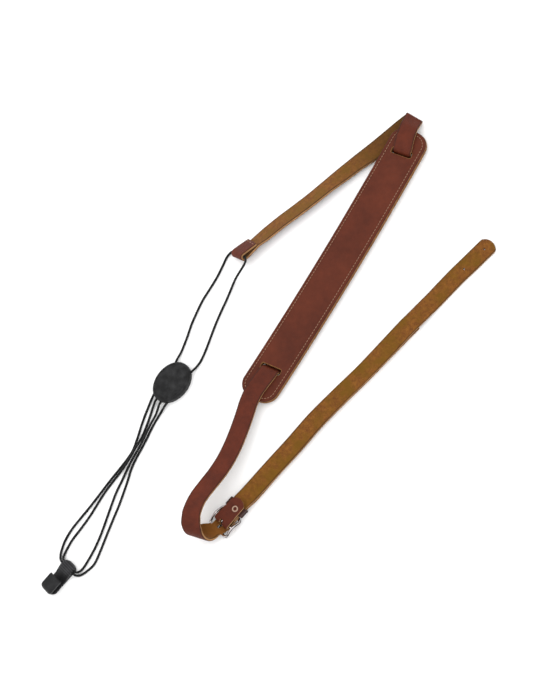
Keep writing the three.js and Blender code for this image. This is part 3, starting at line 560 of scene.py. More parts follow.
# ---- Long strap ---------------------------------------------------------------------------
# One 16 mm strip of 2.2 mm leather, smooth reddish brown on its grain side and ochre suede on the
# other. Its end is turned over the cord and sewn; it passes through both slots of the pad, folds
# round at the bottom and ends under the tail strap, behind the buckle.
# thinned: how far the cut ends are worn down; blend: how far back a rounded end's arc reaches
STRAP = {"width": 16.0, "thick": 2.2, "bevel": 0.5, "step": 1.1, "thinned": 0.3, "blend": 9.0}
GAP = 0.3
LAYER = STRAP["thick"] + GAP
STRAP_MID = STRAP["thick"] / 2
SLOT_HEADING = 153
UPPER_SLOT, LOWER_SLOT = (56.9, 139.9), (-57.7, -38)
PAD_TOP = 7.1
BUCKLE = {"x": -97.7, "y": -161.4, "heading": 44.8, "drift": 0.04}


def rung(row):
    """Rung of a strip from x, y, z, heading of the cross line, and its rise and width if given."""
    left_out = [0, STRAP["width"]][len(row) - 4:]
    x, y, z, heading, rise, width = [*row, *left_out]
    return np.array([x, y, z, *bearing(heading, rise), width], float)


def bend(start, travel, radius, degrees, side):
    """Rungs round an axis along the first rung: cosine and sine of the turn, drifting along it."""
    axis = start[3:6]
    slide = travel @ axis
    ahead = unit(travel - slide * axis)
    drift = slide / np.sqrt(1 - slide**2)
    inward = np.cross(axis, ahead) * side
    steps = int(np.ceil(degrees / 20))
    turn = np.radians(degrees) * np.arange(1, steps + 1)[:, None] / steps
    middle = start[:3] + radius * (
        axis * drift * turn + ahead * np.sin(turn) + inward * (1 - np.cos(turn)))
    return np.hstack([middle, np.tile(start[3:], (steps, 1))])


def dive(slot, heading, start_z, end_z, radius=3, degrees=75):
    """Rungs through a slot of the pad: level, steeply down or up, and level again."""
    side = -1 if end_z < start_z else 1
    travel = bearing(heading)
    slope = np.radians(degrees)
    slant = (abs(end_z - start_z) - 2 * radius * (1 - np.cos(slope))) / np.sin(slope)
    reach = 2 * radius * np.sin(slope) + slant * np.cos(slope)
    start = rung([*slot, start_z, SLOT_HEADING])
    start[:3] -= travel * reach / 2
    first = bend(start, travel, radius, degrees, side)
    steep = travel * np.cos(slope) + np.array([0, 0, side * np.sin(slope)])
    second = first[-1].copy()
    second[:3] += steep * slant
    return np.vstack([start, first, second, bend(second, steep, radius, degrees, -side)])


def fold(row, heading, radius):
    """Rungs of a strip turned over by half a circle."""
    return np.vstack([rung(row), bend(rung(row), bearing(heading), radius, 180, -1)])


# the end over the cord: distance back from the turn, lift above the run
CORD_END = {"x": -84.4, "y": 64.1, "heading": 220, "loop": 2.7, "back": 15.4}
CORD_FLAP = [(15.4, LAYER), (11, LAYER + 0.8), (7, LAYER + 1.6), (3.2, LAYER + 2.3)]


def end_rung(back, lift):
    """Rung of the cord end: its cross line turns and rolls evenly with the distance back."""
    share = back / CORD_END["back"]
    roll = np.radians(27 + 7 * share)
    cross = bearing(146 - 8 * share, -27 - 7 * share)
    out = bearing(CORD_END["heading"])
    lifted = unit(np.cross(cross, out))
    z = STRAP["width"] / 2 * np.sin(roll) + STRAP_MID * np.cos(roll)
    middle = np.array([CORD_END["x"], CORD_END["y"], z]) - out * back + lifted * lift
    return np.array([*middle, *cross, 15 + share])


def cord_end():
    """Rungs from the flap's cut edge round the cord to the run below the flap."""
    top = end_rung(0, 2 * CORD_END["loop"])
    out = bearing(CORD_END["heading"])
    square = unit(out - (out @ top[3:6]) * top[3:6])
    return np.vstack([
        *[end_rung(*row) for row in CORD_FLAP],
        top,
        bend(top, square, CORD_END["loop"], 180, -1),
        *[end_rung(back, 0) for back in (4, 8, 12, 16)],
    ])


# x, y, z, heading of the cross line, its rise
RUN_TO_FOLD = [
    [-62.5, 81.6, 4.7, 128, -28],
    [-49.3, 91, 4.6, 125, -27],
    [-34.9, 100.2, 4.5, 124, -26],
    [-21.2, 109.3, 4.4, 124, -25],
    [-7.9, 118.9, 4.2, 124, -23],
    [5.5, 128.5, 3.3, 124, -16],
    [19.1, 138, 2.7, 124, -11.5],
    [33, 147.5, 1.2, 124.5, -1],
    [45.9, 156.8, STRAP_MID, 126, 0],
    [56.8, 164.8, STRAP_MID, 133, 0],
]
FOLD_TO_SLOT = [
    [66, 166.3, 6.2, 148],
    [64.4, 162, 8.3, 153],
    [62.6, 157.2, 8.8, 156],
    [60.6, 151.7, 8.8, 156],
]
UNDER_PAD = [
    [48, 125.8, STRAP_MID, 148],
    [-1, 49.8, STRAP_MID, 147.2],
    [-49, -24.6, STRAP_MID, 148],
]
LOWER_RUN = [
    [-66, -49, 8.7, 148, 0],
    [-71.5, -56.5, 8.9, 155, 0],
    [-75.8, -65.5, 9.2, 161, -1],
    [-78.9, -75.5, 9.8, 161, -2],
    [-82.2, -85.5, 10.5, 159, -3],
    [-85.9, -95.6, 11.3, 156, -3],
    [-90, -105.5, 12.3, 152, -4],
    [-95.1, -115.4, 13.5, 147, -6],
    [-101.6, -125.3, 14.9, 143, -9],
    [-109.3, -135.2, 16.6, 142, -11],
    [-116, -144.9, 18.2, 146, -10],
    [-119.8, -154.9, 19.6, 153, -5],
    [-120.5, -161.6, 20, 157, -1],
]
# distance along the buckle's axis, height and width of the long strap, height of the tail above it
THROUGH_BUCKLE = [
    [-8.6, 4.9, 12.4, None],
    [-6.5, 4.1, 12.9, None],
    [-4.3, 2.95, 13.6, None],
    [-2.2, 1.95, 14.4, None],
    [0, 1.4, 15, None],
    [2.2, 1.85, 15.2, 4.4],
    [4.3, 2.85, 15.2, 5.5],
    [6.5, 3.9, 15.2, 6.6],
    [9, 4.75, 14.9, 7.3],
    [11.5, 3.75, 14.4, 6.4],
    [15, 2.95, 14.2, 5.6],
    [21.5, 2.7, 14.6, 5.3],
    [30, 1.3, 15.3, 3.9],
]
# middle of the tail strap and its width, from the buckle to the long strap's free end
TAIL_OVER_FREE_END = [
    [-57.2, -120.7, 15.6],
    [-38.6, -102.2, 15.8],
    [-20.9, -83.6, 15.6],
    [-0.9, -65.1, 15],
    [19.8, -46.8, 14.7],
    [39.5, -28.3, 15.3],
    [56, -12.1, 15.1],
]
FREE_END = {"x": 61, "y": -7.4, "shift": -0.6, "end_shift": 0.2, "width": 15.4}
ADJUST_HOLES = {"radius": 1.1, "heading": 223, "far": [25, 45, 65, 85]}


def long_strap_rungs():
    """Rungs of the whole strap, from the flap over the cord to its free end under the tail."""
    flip = BUCKLE["heading"] + 90
    side = bearing(BUCKLE["heading"] - 90)
    over_pad = PAD_TOP + GAP + STRAP_MID
    at_buckle = [
        rung([*(local(BUCKLE, along, BUCKLE["drift"] * max(0, -along), z) / MM), flip, 0, width])
        for along, z, width, _ in THROUGH_BUCKLE]
    under = [(x, y, FREE_END["shift"]) for x, y, _ in TAIL_OVER_FREE_END[:-1]]
    under.append((FREE_END["x"], FREE_END["y"], FREE_END["end_shift"]))
    free = [
        rung([x + shift * side[0], y + shift * side[1], STRAP_MID, flip - 1.5, 0, FREE_END["width"]])
        for x, y, shift in under]
    return np.vstack([
        cord_end(),
        *[rung(row) for row in RUN_TO_FOLD],
        fold([66.3, 171.2, STRAP_MID, 141.7], 35.6, 1.45),
        *[rung(row) for row in FOLD_TO_SLOT],
        dive(UPPER_SLOT, -116, over_pad, STRAP_MID),
        *[rung(row) for row in UNDER_PAD],
        dive(LOWER_SLOT, -121, STRAP_MID, over_pad),
        *[rung(row) for row in LOWER_RUN],
        fold([-120.4, -165.3, 20, 161.5], -82, 7.6),
        *at_buckle,
        *free,
    ])


def strip_section(columns=12, arc=4):
    """Outline of a strip's cut, once round: share across, inset, lift, and the finish of each side.

    The grain face, a rounded edge, the suede face and the other edge; inset and lift follow a
    quarter circle at each corner, wider on the grain side than on the suede side.
    """
    thick, wide, tight = STRAP["thick"] / 2, STRAP["bevel"], 0.6 * STRAP["bevel"]
    turn = np.linspace(0, np.pi / 2, arc)
    share = np.linspace(-1, 1, columns + 1)[1:-1]
    front = np.stack([share, 0 * share + wide, 0 * share + thick], -1)
    sine, cosine, one = np.sin(turn), np.cos(turn), np.ones_like(turn)
    grain_arc = np.stack([one, wide * (1 - sine), thick - wide * (1 - cosine)], -1)
    suede_arc = np.stack([one, tight * (1 - cosine), -thick + tight * (1 - sine)], -1)
    back = np.stack([-share, 0 * share + tight, 0 * share - thick], -1)
    mirror = np.array([-1, 1, 1])
    left_arcs = [(suede_arc * mirror)[::-1], (grain_arc * mirror)[::-1]]
    around = np.vstack([front, grain_arc, suede_arc, back, *left_arcs])
    middle = len(share)
    finish = np.concatenate([
        np.full(middle + arc - 1, 0), [1], np.full(middle + 2 * arc - 1, 2), [1], np.full(arc, 0)])
    return around, finish


def leather_strip(name, rungs, finishes, start_crown=0.0, end_crown=0.0):
    """Strip of leather over its rungs: a rounded section carried along a smooth path.

    A point is the middle plus its share of the half width along the cross line plus its lift along
    the normal; rounded ends fall back along the travel by the drop of a circle; the cut ends are
    thinned a little, as a cut edge is after burnishing.
    """
    rows, gone = through(rungs, STRAP["step"])
    middle, cross, width = rows[:, :3], unit(rows[:, 3:6]), rows[:, 6:7]
    order = np.arange(len(rows))
    travel = unit(middle[np.minimum(order + 1, len(rows) - 1)] - middle[np.maximum(order - 1, 0)])
    normal = np.cross(cross, travel)
    square = np.linalg.norm(normal, axis=1, keepdims=True)
    normal = normal / square
    around, finish = strip_section()
    thinned = np.zeros((len(rows), 1))
    thinned[[0, -1]] = STRAP["thinned"]
    half = width / 2 / square
    reach = around[:, 0] * (half - around[:, 1] - thinned)
    lift = around[:, 2] * (1 - thinned)
    flat = np.abs(reach * square)
    back = np.zeros_like(reach)
    for crown, sign, near in (
        (start_crown, 1, np.maximum(0, 1 - gone / STRAP["blend"])),
        (end_crown, -1, np.maximum(0, 1 - (gone[-1] - gone) / STRAP["blend"])),
    ):
        if crown:
            fallen = np.minimum(flat, 0.999 * crown)
            back += sign * near[:, None] * (crown - np.sqrt(crown**2 - fallen**2))
    points = (
        middle[:, None] + reach[..., None] * cross[:, None]
        + lift[..., None] * normal[:, None] + back[..., None] * travel[:, None]
    )
    closed_reach = np.hstack([reach * square, reach[:, :1] * square])
    marks = np.stack([np.broadcast_to(gone[:, None], closed_reach.shape), closed_reach], -1) * MM
    return surface(name, points * MM, finishes, marks, finish, crease=35)


def grain_leather(name, dark, light, burnished, half_width=None,
                  sizes=(0.8, 14, 4, 3), shares=(0.55, 0.3, 0.35)):
    """Smooth grain side: pebbled pores and fine creases, cloudy dye, and a darker burnished rim.

    sizes are the pores', clouds', blotches' and worn rim's; shares are the clouds', blotches' and
    creases' in the dye. Without half_width, the place across is counted from the edge, as on the pad.
    """
    made = Finish(name, specular_ior_level=0.14)
    _, across = made.along_across()
    pore, *patches = [size * MM for size in sizes]
    pores = made.node("ShaderNodeTexVoronoi", {"feature": "DISTANCE_TO_EDGE"},
                      {"Vector": made.place(), "Scale": 1 / pore})
    pebble, fine = pores.step(0.0, 0.28), made.noise(0.5 * MM, 5.0, 0.65)
    cloud, blotch, rub = [made.noise(size, 4.0) for size in patches]
    dyed = cloud * shares[0] + blotch * shares[1] + fine * shares[2] - 0.1
    dye = made.mix(dyed.step(0.15, 0.85), tint(*dark), tint(*light))
    if half_width is None:
        rim = (1 - across.step(0.1 * MM, 1.1 * MM)) * (rub.step(0.3, 0.7) * 0.5 + 0.25)
    else:
        edge = across.of("ABSOLUTE").step((half_width - 1.4) * MM, (half_width - 0.2) * MM)
        rim = edge * (rub.step(0.3, 0.7) * 0.4 + 0.5)
    made.colour(made.mix(rim, dye, tint(*burnished)))
    made.roughness(cloud * 0.14 + pebble * -0.08 + 0.5)
    made.relief(pebble * 0.45 + fine * 0.4 + blotch * 0.25, 0.16 * MM)
    return made


def suede_leather(name, dark, light, green, rim, half_width, tones_and_painted_light=()):
    """Flesh side: short nap with cloudy ochre and olive patches, toned along its length by given bands,
    some of them painted light.
    """
    made = Finish(name, specular_ior_level=0.1, sheen_weight=0.1, sheen_roughness=0.5)
    along, across = made.along_across()
    cloud, patch = made.noise(16 * MM, 4.0, 0.6), made.noise(3 * MM, 5.0, 0.65)
    nap = made.noise(0.5 * MM, 6.0, 0.75)
    tone = made.mix((patch * 0.4 + nap * 0.6).step(0.3, 0.7), tint(*dark), tint(*light))
    dyed = made.mix(cloud.step(0.42, 0.68) * 0.75, tone, tint(*green))
    edge = across.of("ABSOLUTE").step((half_width - 1.5) * MM, (half_width - 0.4) * MM)
    # Each band mixes in a tone along the strap; on the long strap the last is painted light over the
    # bottom fold's shaded inside.
    for start, full, share, colour in tones_and_painted_light:
        dyed = made.mix(along.step(start, full) * share, dyed, tint(*colour))
    made.colour(made.mix(edge * 0.85, dyed, tint(*rim)))
    made.roughness(nap * 0.1 + 0.84)
    made.relief(nap * 0.8 + patch * 0.2, 0.3 * MM)
    return made


def cut_edge(name, dark, light):
    """Bare cut edge of leather: pale layered fibres, streaked along the cut."""
    made = Finish(name, specular_ior_level=0.3)
    fibre, cloud = made.noise(0.3 * MM, 5.0, 0.7), made.noise(5 * MM, 3.0)
    made.colour(made.mix((fibre * 0.6 + cloud * 0.5).step(0.3, 0.8), tint(*dark), tint(*light)))
    made.roughness(fibre * 0.1 + 0.72)
    made.relief(fibre, 0.15 * MM)
    return made


# dark, light, green and rim colour, half the width
SUEDE = ((80, 43, 18), (136, 87, 33), (100, 70, 11), (68, 45, 20), 7.8)
# where along the strap a tone starts and is full, in metres, its share, its colour: a darker tone from
# 0.12 m on, then painted light, a lighter tone over the inside of the bottom fold where shade falls
ALONG_TONES_AND_PAINTED_LIGHT = [(0.12, 0.19, 0.62, (68, 45, 20)), (0.585, 0.605, 0.85, (116, 71, 26))]
strap_grain = grain_leather("strap_grain", (63, 23, 11), (98, 41, 23), (49, 24, 16), 7.9)
strap_suede = suede_leather("strap_suede", *SUEDE, ALONG_TONES_AND_PAINTED_LIGHT)
strap_edge = cut_edge("strap_edge", (110, 75, 43), (170, 128, 84))
strap_finishes = [strap_grain, strap_edge, strap_suede]


def slab_cutter(origin, along, across, z, size):
    """Box cutter set along an origin's heading."""
    ends = np.array([-0.5, 0.5]) * size[0] + along
    corner = np.array([[1, 1], [-1, 1], [-1, -1], [1, -1]]) * np.array([size[1], size[2]]) / 2
    rings = local(origin, ends[:, None], across + corner[:, 0], z + corner[:, 1])
    return surface("cutter", rings, strap_finishes, kinds=np.full(4, 1))


long_strap = leather_strip("strap_long", long_strap_rungs(), strap_finishes)
strap_cutters = [slab_cutter(BUCKLE, -4.8, 0, 3, (5.4, 2.6, 8))]
for far in ADJUST_HOLES["far"]:
    foot = np.array([FREE_END["x"], FREE_END["y"], 0]) + far * bearing(ADJUST_HOLES["heading"])
    foot, head = (foot - [0, 0, 1]) * MM, (foot + [0, 0, 3.3]) * MM
    strap_cutters.append(peg(foot, head, ADJUST_HOLES["radius"] * MM, strap_finishes, 1))
finish_piece(carve(long_strap, strap_cutters), "strap_leather", "long_strap")

# ---- Tail strap ---------------------------------------------------------------------------
# The strip that goes on to the tail button, of the same leather with the suede side up. One end
# wraps the buckle's centre bar as a riveted flap with a rounded tip; the other has two punched
# button holes and a rounded end.
TAIL_ALONE = [
    [64, -4.9, 3.6, 15],
    [71.4, 2.4, 2.4, 15.1],
    [79.3, 10.1, 1.2, 15.2],
    [88.1, 18.6, 1.1, 15.3],
    [98, 27.9, 1.1, 15.3],
    [108.5, 37, 1.1, 15.5],
    [127.9, 54.1, 1.1, 15.5],
]
CENTRE_BAR_Z, WRAP = 6.3, 2.4
# The flap lies on the keeper loop, so its height follows the keeper's.
KEEPER = {"from": 11.2, "length": 7.6, "wall": 1.0, "inside": 7.6, "ceiling": 8.1, "round": 0.8}
FLAP_Z = KEEPER["ceiling"] + KEEPER["wall"] + GAP + STRAP_MID
# distance along the buckle's axis, height, width, distance to the right of the axis
TAIL_FLAP = [
    [22.2, FLAP_Z, 12.8, 0.7],
    [16, FLAP_Z, 13, 0.7],
    [11, FLAP_Z, 13.3, 0.7],
    [5, FLAP_Z - 0.8, 14, 0.42],
]
BUTTON_HOLES = {"radius": 0.9, "from_tip": [8.6, 31.3]}


def tail_strap_rungs():
    """Rungs of the riveted flap, the turn round the centre bar, and the tail to its end."""
    left = BUCKLE["heading"] + 90

    def placed(along, z, width, aside=0):
        return rung([*(local(BUCKLE, along, aside, z) / MM), left, 0, width])

    top = placed(0, CENTRE_BAR_Z + WRAP, 14.6)
    return np.vstack([
        *[placed(*row) for row in TAIL_FLAP],
        top,
        bend(top, bearing(BUCKLE["heading"] + 180), WRAP, 180, -1),
        *[placed(along, tail_z, width) for along, _, width, tail_z in THROUGH_BUCKLE if tail_z],
        *[rung([x, y, STRAP_MID + LAYER, left - 1.5, 0, width]) for x, y, width in TAIL_OVER_FREE_END],
        *[rung([x, y, z, left - 2.3, 0, width]) for x, y, z, width in TAIL_ALONE],
    ])


tail_finishes = [strap_grain, strap_edge, suede_leather("tail_suede", *SUEDE)]
tail_strap = leather_strip("strap_tail", tail_strap_rungs(), tail_finishes, 8.2, 9.2)
tip, inner = np.array(TAIL_ALONE[-1][:2]), np.array(TAIL_ALONE[-2][:2])
tail_cutters = [slab_cutter(BUCKLE, -0.4, 0, 6, (7.2, 3.2, 7.6))]
for far in BUTTON_HOLES["from_tip"]:
    spot = tip + unit(inner - tip) * far
    tail_cutters.append(peg(
        np.array([*spot, -1]) * MM, np.array([*spot, 3.5]) * MM,
        BUTTON_HOLES["radius"] * MM, strap_finishes, 1))
finish_piece(carve(tail_strap, tail_cutters), "strap_leather", "tail_strap")

# ---- Shoulder pad -------------------------------------------------------------------------
# Two layers of leather sewn together round the edge: a smooth front 2.2 mm thick and a thinner
# suede back that shows a little past it, with a long slot at each end for the strap.
PAD = {
    "top": (67.8, 157.9), "bottom": (-73.3, -61), "width": 33.5, "corner": 12, "bow": 2.6,
    "bed": 2.8, "back": 1.8, "front": 2.2, "proud": 0.4, "stitch_in": 2.9, "pitch": 2.7,
}
SLOT = {"length": 18.6, "width": 5.3, "corner": 1.3}
FRONT_BED = PAD["bed"] + PAD["back"] + GAP
pad_ends = np.array([PAD["top"], PAD["bottom"]])
PAD_HALF = np.linalg.norm(pad_ends[1] - pad_ends[0]) / 2


def rounded_loop(half_long, half_wide, radius, count):
    """Points evenly spaced round a rectangle with quarter-circle corners: along, across."""
    straight_long, straight_wide = 2 * (half_long - radius), 2 * (half_wide - radius)
    arc = np.pi / 2 * radius
    lengths = np.array([straight_wide, arc, straight_long, arc, straight_wide, arc, straight_long, arc])
    ends = np.cumsum(lengths)
    gone = np.arange(count) / count * ends[-1]
    side = np.minimum(np.searchsorted(ends, gone, side="right"), 7)
    rest = gone - (ends - lengths)[side]
    # start of each side, the corner's centre, and the heading that it starts with
    quarter = side // 2
    heading = np.pi / 2 * (quarter + 1)
    sign = np.array([[1, 1], [-1, 1], [-1, -1], [1, -1]])[quarter]
    centre = sign * np.array([half_long - radius, half_wide - radius])
    turn = heading - np.pi / 2 + np.where(side % 2 == 1, rest / max(radius, 1e-9), 0)
    along_way = np.stack([np.cos(heading), np.sin(heading)], -1)
    outward = np.stack([np.cos(turn), np.sin(turn)], -1)
    left_over = np.where(side % 2 == 0, rest - lengths[side], 0)
    return centre + radius * outward + along_way * left_over[:, None]


def pad_points(inset, z, count=420):
    """Ring of the pad's outline at an inset: a rounded rectangle on a gently bowed centre line."""
    corner = max(PAD["corner"] - inset, 0.5)
    loop = rounded_loop(PAD_HALF - inset, PAD["width"] / 2 - inset, corner, count)
    bow = PAD["bow"] * (1 - (loop[:, 0] / PAD_HALF) ** 2)
    way = unit(pad_ends[1] - pad_ends[0])
    side = np.array([way[1], -way[0]])
    flat = pad_ends.mean(0) + loop[:, :1] * way + (loop[:, 1] - bow)[:, None] * side
    return np.column_stack([flat, np.full(count, z)]) * MM


def slot_cutter(middle, top, finishes):
    """Upright cutter for a strap slot, flared a little at the top so that the lip is rounded."""
    rings = []
    for z, flare in ((-1, 0), (top - 0.5, 0), (top - 0.2, 0.15), (top + 0.01, 0.5), (top + 2, 0.5)):
        half_long, half_wide = SLOT["length"] / 2 + flare, SLOT["width"] / 2 + flare
        loop = rounded_loop(half_long, half_wide, SLOT["corner"] + flare, 48)
        turned = {"x": middle[0], "y": middle[1], "heading": SLOT_HEADING}
        rings.append(local(turned, loop[:, 0], loop[:, 1], z))
    return surface("cutter", rings, finishes, kinds=np.ones(48))


def pad_layer(name, rows, finishes, top):
    """Pad layer from rows of inset, height and finish, from under the edge to the flat top."""
    rings = np.array([pad_points(inset, z) for inset, z, _ in rows])
    distance = np.array([row[0] for row in rows]) * MM
    along = np.linspace(0, 1, rings.shape[1] + 1)
    marks = np.stack(np.broadcast_arrays(along, distance[:, None]), -1)
    made = surface(name, rings, finishes, marks, crease=50)
    kinds = np.repeat([row[2] for row in rows[:-1]], rings.shape[1])
    slots = np.concatenate([kinds, np.zeros(len(made.data.polygons) - len(kinds), int)])
    made.data.polygons.foreach_set("material_index", slots.astype(np.int32))
    return carve(made, [slot_cutter(spot, top, finishes) for spot in (UPPER_SLOT, LOWER_SLOT)])


# inset, height, finish: 0 grain or suede face, 1 cut edge
FRONT_ROWS = [
    (8, FRONT_BED, 1), (0.3, FRONT_BED, 1), (0, FRONT_BED + 0.3, 1), (0, PAD_TOP - 0.75, 0),
    (0.12, PAD_TOP - 0.38, 0), (0.38, PAD_TOP - 0.12, 0), (0.8, PAD_TOP, 0), (1.7, PAD_TOP, 0),
    (2.35, PAD_TOP - 0.06, 0), (2.65, PAD_TOP - 0.24, 0), (2.9, PAD_TOP - 0.32, 0),
    (3.15, PAD_TOP - 0.24, 0), (3.5, PAD_TOP - 0.06, 0), (4.3, PAD_TOP, 0), (8, PAD_TOP, 0),
]
BACK_TOP = PAD["bed"] + PAD["back"]
BACK_ROWS = [
    (8, PAD["bed"], 0), (3.2, PAD["bed"], 0), (2.9, PAD["bed"] + 0.2, 0), (2.6, PAD["bed"], 0),
    (0, PAD["bed"], 0), (-0.3, PAD["bed"] + 0.2, 1), (-0.4, PAD["bed"] + 0.5, 1),
    (-0.4, BACK_TOP - 0.3, 1), (-0.2, BACK_TOP, 1), (8, BACK_TOP, 0),
]
pad_edge = cut_edge("pad_edge", (98, 62, 30), (152, 107, 62))
pad_suede = suede_leather("pad_suede", (85, 52, 26), (124, 82, 43), (99, 70, 28), (73, 48, 23), 30)
pad_grain = grain_leather(
    "pad_grain", (65, 25, 12), (97, 43, 25), (50, 26, 15), None, (0.85, 30, 5, 4), (0.6, 0.3, 0.3))
pad_front = pad_layer("pad_front", FRONT_ROWS, [pad_grain, pad_edge], PAD_TOP)
finish_piece(pad_front, "pad_leather", "shoulder_pad_top")
pad_back = pad_layer("pad_back", BACK_ROWS, [pad_suede, pad_edge], BACK_TOP + 4)
finish_piece(pad_back, "pad_suede", "shoulder_pad_back")

# Waxed pale thread, a stitch every 2.7 mm, sunk a little into the leather at both ends.
thread = Finish("waxed_thread", specular_ior_level=0.5)
ply = thread.noise(0.25 * MM, 3.0)
thread.colour(thread.mix(ply.step(0.3, 0.7), tint(115, 77, 57), tint(153, 114, 88)))
thread.roughness(ply * 0.15 + 0.5)
thread.relief(ply, 0.08 * MM)


def stitches(name, middles, ways, length, radius, slot):
    """Row of stitches: each an oval bead, sine of the latitude round, laid along its own way."""
    latitude = np.linspace(0, np.pi, 7)[1:-1]
    turn = np.linspace(0, 2 * np.pi, 8, endpoint=False)
    along = -np.cos(latitude)[:, None] * length / 2 * np.ones(8)
    out = np.sin(latitude)[:, None] ** 0.7 * radius
    side, rise = out * np.cos(turn), out * np.sin(turn)
    cross = unit(np.cross(ways, [0, 0, 1]))
    lifted = np.cross(cross, ways)
    shape = [along, side, rise]
    points = middles[:, None, None] + sum(
        part[None, ..., None] * way[:, None, None] for part, way in zip(shape, (ways, cross, lifted)))
    poles = middles[:, None] + np.array([-0.5, 0.5])[None, :, None] * length * ways[:, None]
    each = np.concatenate([points.reshape(len(middles), -1, 3), poles], 1)
    ring = np.arange(40).reshape(5, 8)
    beside = np.roll(ring, -1, 1)
    body = np.stack([ring[:-1], beside[:-1], beside[1:], ring[1:]], -1).reshape(-1, 4)
    caps = np.vstack([
        np.stack([beside[0], ring[0], np.full(8, 40)], -1),
        np.stack([ring[-1], beside[-1], np.full(8, 41)], -1)])
    offset = np.arange(len(middles))[:, None, None] * 42
    faces = (body[None] + offset).reshape(-1, 4).tolist() + (caps[None] + offset).reshape(-1, 3).tolist()
    mesh = bpy.data.meshes.new(name)
    mesh.from_pydata((each.reshape(-1, 3)).tolist(), [], faces)
    mesh.materials.append(thread.material)
    mesh.shade_smooth()
    made = bpy.data.objects.new(name, mesh)
    bpy.context.scene.collection.objects.link(made)
    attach(made, "root")
    return made


def seam_round_pad(z):
    """Middle and way of every stitch round the pad, at a height."""
    line = pad_points(PAD["stitch_in"], z, 4000)
    gone = np.append(0, np.cumsum(np.linalg.norm(np.diff(np.vstack([line, line[:1]]), axis=0), axis=1)))
    count = int(round(gone[-1] / (PAD["pitch"] * MM)))
    spots = np.searchsorted(gone, np.arange(count) * gone[-1] / count) % len(line)
    return line[spots], unit(np.roll(line, -1, 0)[spots] - np.roll(line, 1, 0)[spots])


stitches("pad_stitches", *seam_round_pad(PAD_TOP - 0.12), 2.05 * MM, 0.36 * MM, "pad_leather")
stitches("pad_stitches_back", *seam_round_pad(PAD["bed"] + 0.1), 2.05 * MM, 0.36 * MM, "pad_suede")

# Three short stitches hold the flap over the cord, square across its cut edge.
flap_at = end_rung(13.7, LAYER + 0.3 + STRAP_MID)
flap_spots = flap_at[:3] + np.array([-4.6, 0, 4.6])[:, None] * flap_at[3:6]
flap_ways = np.tile(flap_at[3:6], (3, 1))
stitches("flap_stitches", flap_spots * MM, flap_ways, 3.0 * MM, 0.4 * MM, "strap_leather")

# ---- Buckle -------------------------------------------------------------------------------
# A chromed wire buckle: an arched rectangular frame with a centre bar, and a prong whose eye turns
# on the bar and whose tongue goes down through the long strap to rest on the near side.
FRAME = {"reach": 9, "half": 9.8, "corner": 2.2, "wire": 1.0, "bar_z": 2.3, "arch": 4}
PRONG = {"wire": 0.65, "ring": 2}


def plated(name, shade, shine, rough):
    """Polished plating with painted shade on the sides and a painted highlight on top, chosen by which
    way the surface faces; noise breaks the painted highlight's edge and varies the roughness, and the
    plating is finely scratched.
    """
    made = Finish(name, metallic=1.0)
    smear_and_highlight_break, scratch = made.noise(3 * MM, 4.0), made.noise(0.2 * MM, 2.0)
    facing = made.node("ShaderNodeTexCoord", output="Normal")
    upward = made.node("ShaderNodeSeparateXYZ", {}, {0: facing}, output="Z")
    # Painted highlight: the share of the shine colour grows as the surface faces up.
    painted_highlight_share = (upward + smear_and_highlight_break * 0.5).step(0.7, 1.15)
    made.colour(made.mix(painted_highlight_share, tint(*shade), tint(*shine)))
    made.roughness(smear_and_highlight_break * 0.1 + scratch * 0.04 + rough)
    made.relief(scratch, 0.004 * MM)
    return made


# Chrome with a painted highlight on top and painted shade on the sides, the shade brownish as a painted
# reflection of the leather.
chrome = plated("chrome", (32, 22, 18), (192, 184, 184), 0.07)

loop = rounded_loop(FRAME["reach"], FRAME["half"], FRAME["corner"], 160)
arched = FRAME["bar_z"] + FRAME["arch"] * (1 - (loop[:, 0] / FRAME["reach"]) ** 2) ** 2
frame_path = local(BUCKLE, loop[:, 0], loop[:, 1], arched)
frame_wire = wire_rings(frame_path, FRAME["wire"] * MM, 20, closed=True)
buckle_frame = surface(
    "buckle_wire", frame_wire, [chrome], round_marks(161, 20, np.linspace(0, 1, 161)), closed=True)
finish_piece(buckle_frame, "buckle_metal", "buckle_frame")
bar = local(BUCKLE, 0, np.linspace(-FRAME["half"], FRAME["half"], 9), CENTRE_BAR_Z)
centre_bar = surface("buckle_bar", wire_rings(bar, 0.95 * MM, 20), [chrome])
finish_piece(centre_bar, "buckle_metal")

eye_turn = np.linspace(0, 2 * np.pi, 40, endpoint=False)
eye = local(BUCKLE, PRONG["ring"] * np.cos(eye_turn), 0, CENTRE_BAR_Z + PRONG["ring"] * np.sin(eye_turn))
eye_rings = wire_rings(eye, PRONG["wire"] * MM, 16, bearing(BUCKLE["heading"] - 90), closed=True)
prong_eye = surface("prong_eye", eye_rings, [chrome], closed=True)
finish_piece(prong_eye, "buckle_metal", "buckle_prong")
# distance along the buckle's axis, height
TONGUE = np.array([
    [-1.75, 5.3],
    [-3.4, 4.1],
    [-5.4, 2.7],
    [-7.2, 1.3],
    [-8.4, 0.65],
    [-10.1, 0.65],
])
tongue_path, _ = through(np.column_stack([TONGUE[:, 0], 0 * TONGUE[:, 0], TONGUE[:, 1]]), 0.4)
blunt = np.clip(1.05 - np.linspace(0, 1, len(tongue_path)) ** 14, 0.1, 1)
tongue_width = PRONG["wire"] * MM * np.sqrt(blunt)
tongue = local(BUCKLE, tongue_path[:, 0], 0, tongue_path[:, 2])
tongue_rings = wire_rings(tongue, tongue_width, 16, bearing(BUCKLE["heading"] - 90))
prong = surface("prong_tongue", tongue_rings, [chrome])
finish_piece(prong, "buckle_metal")

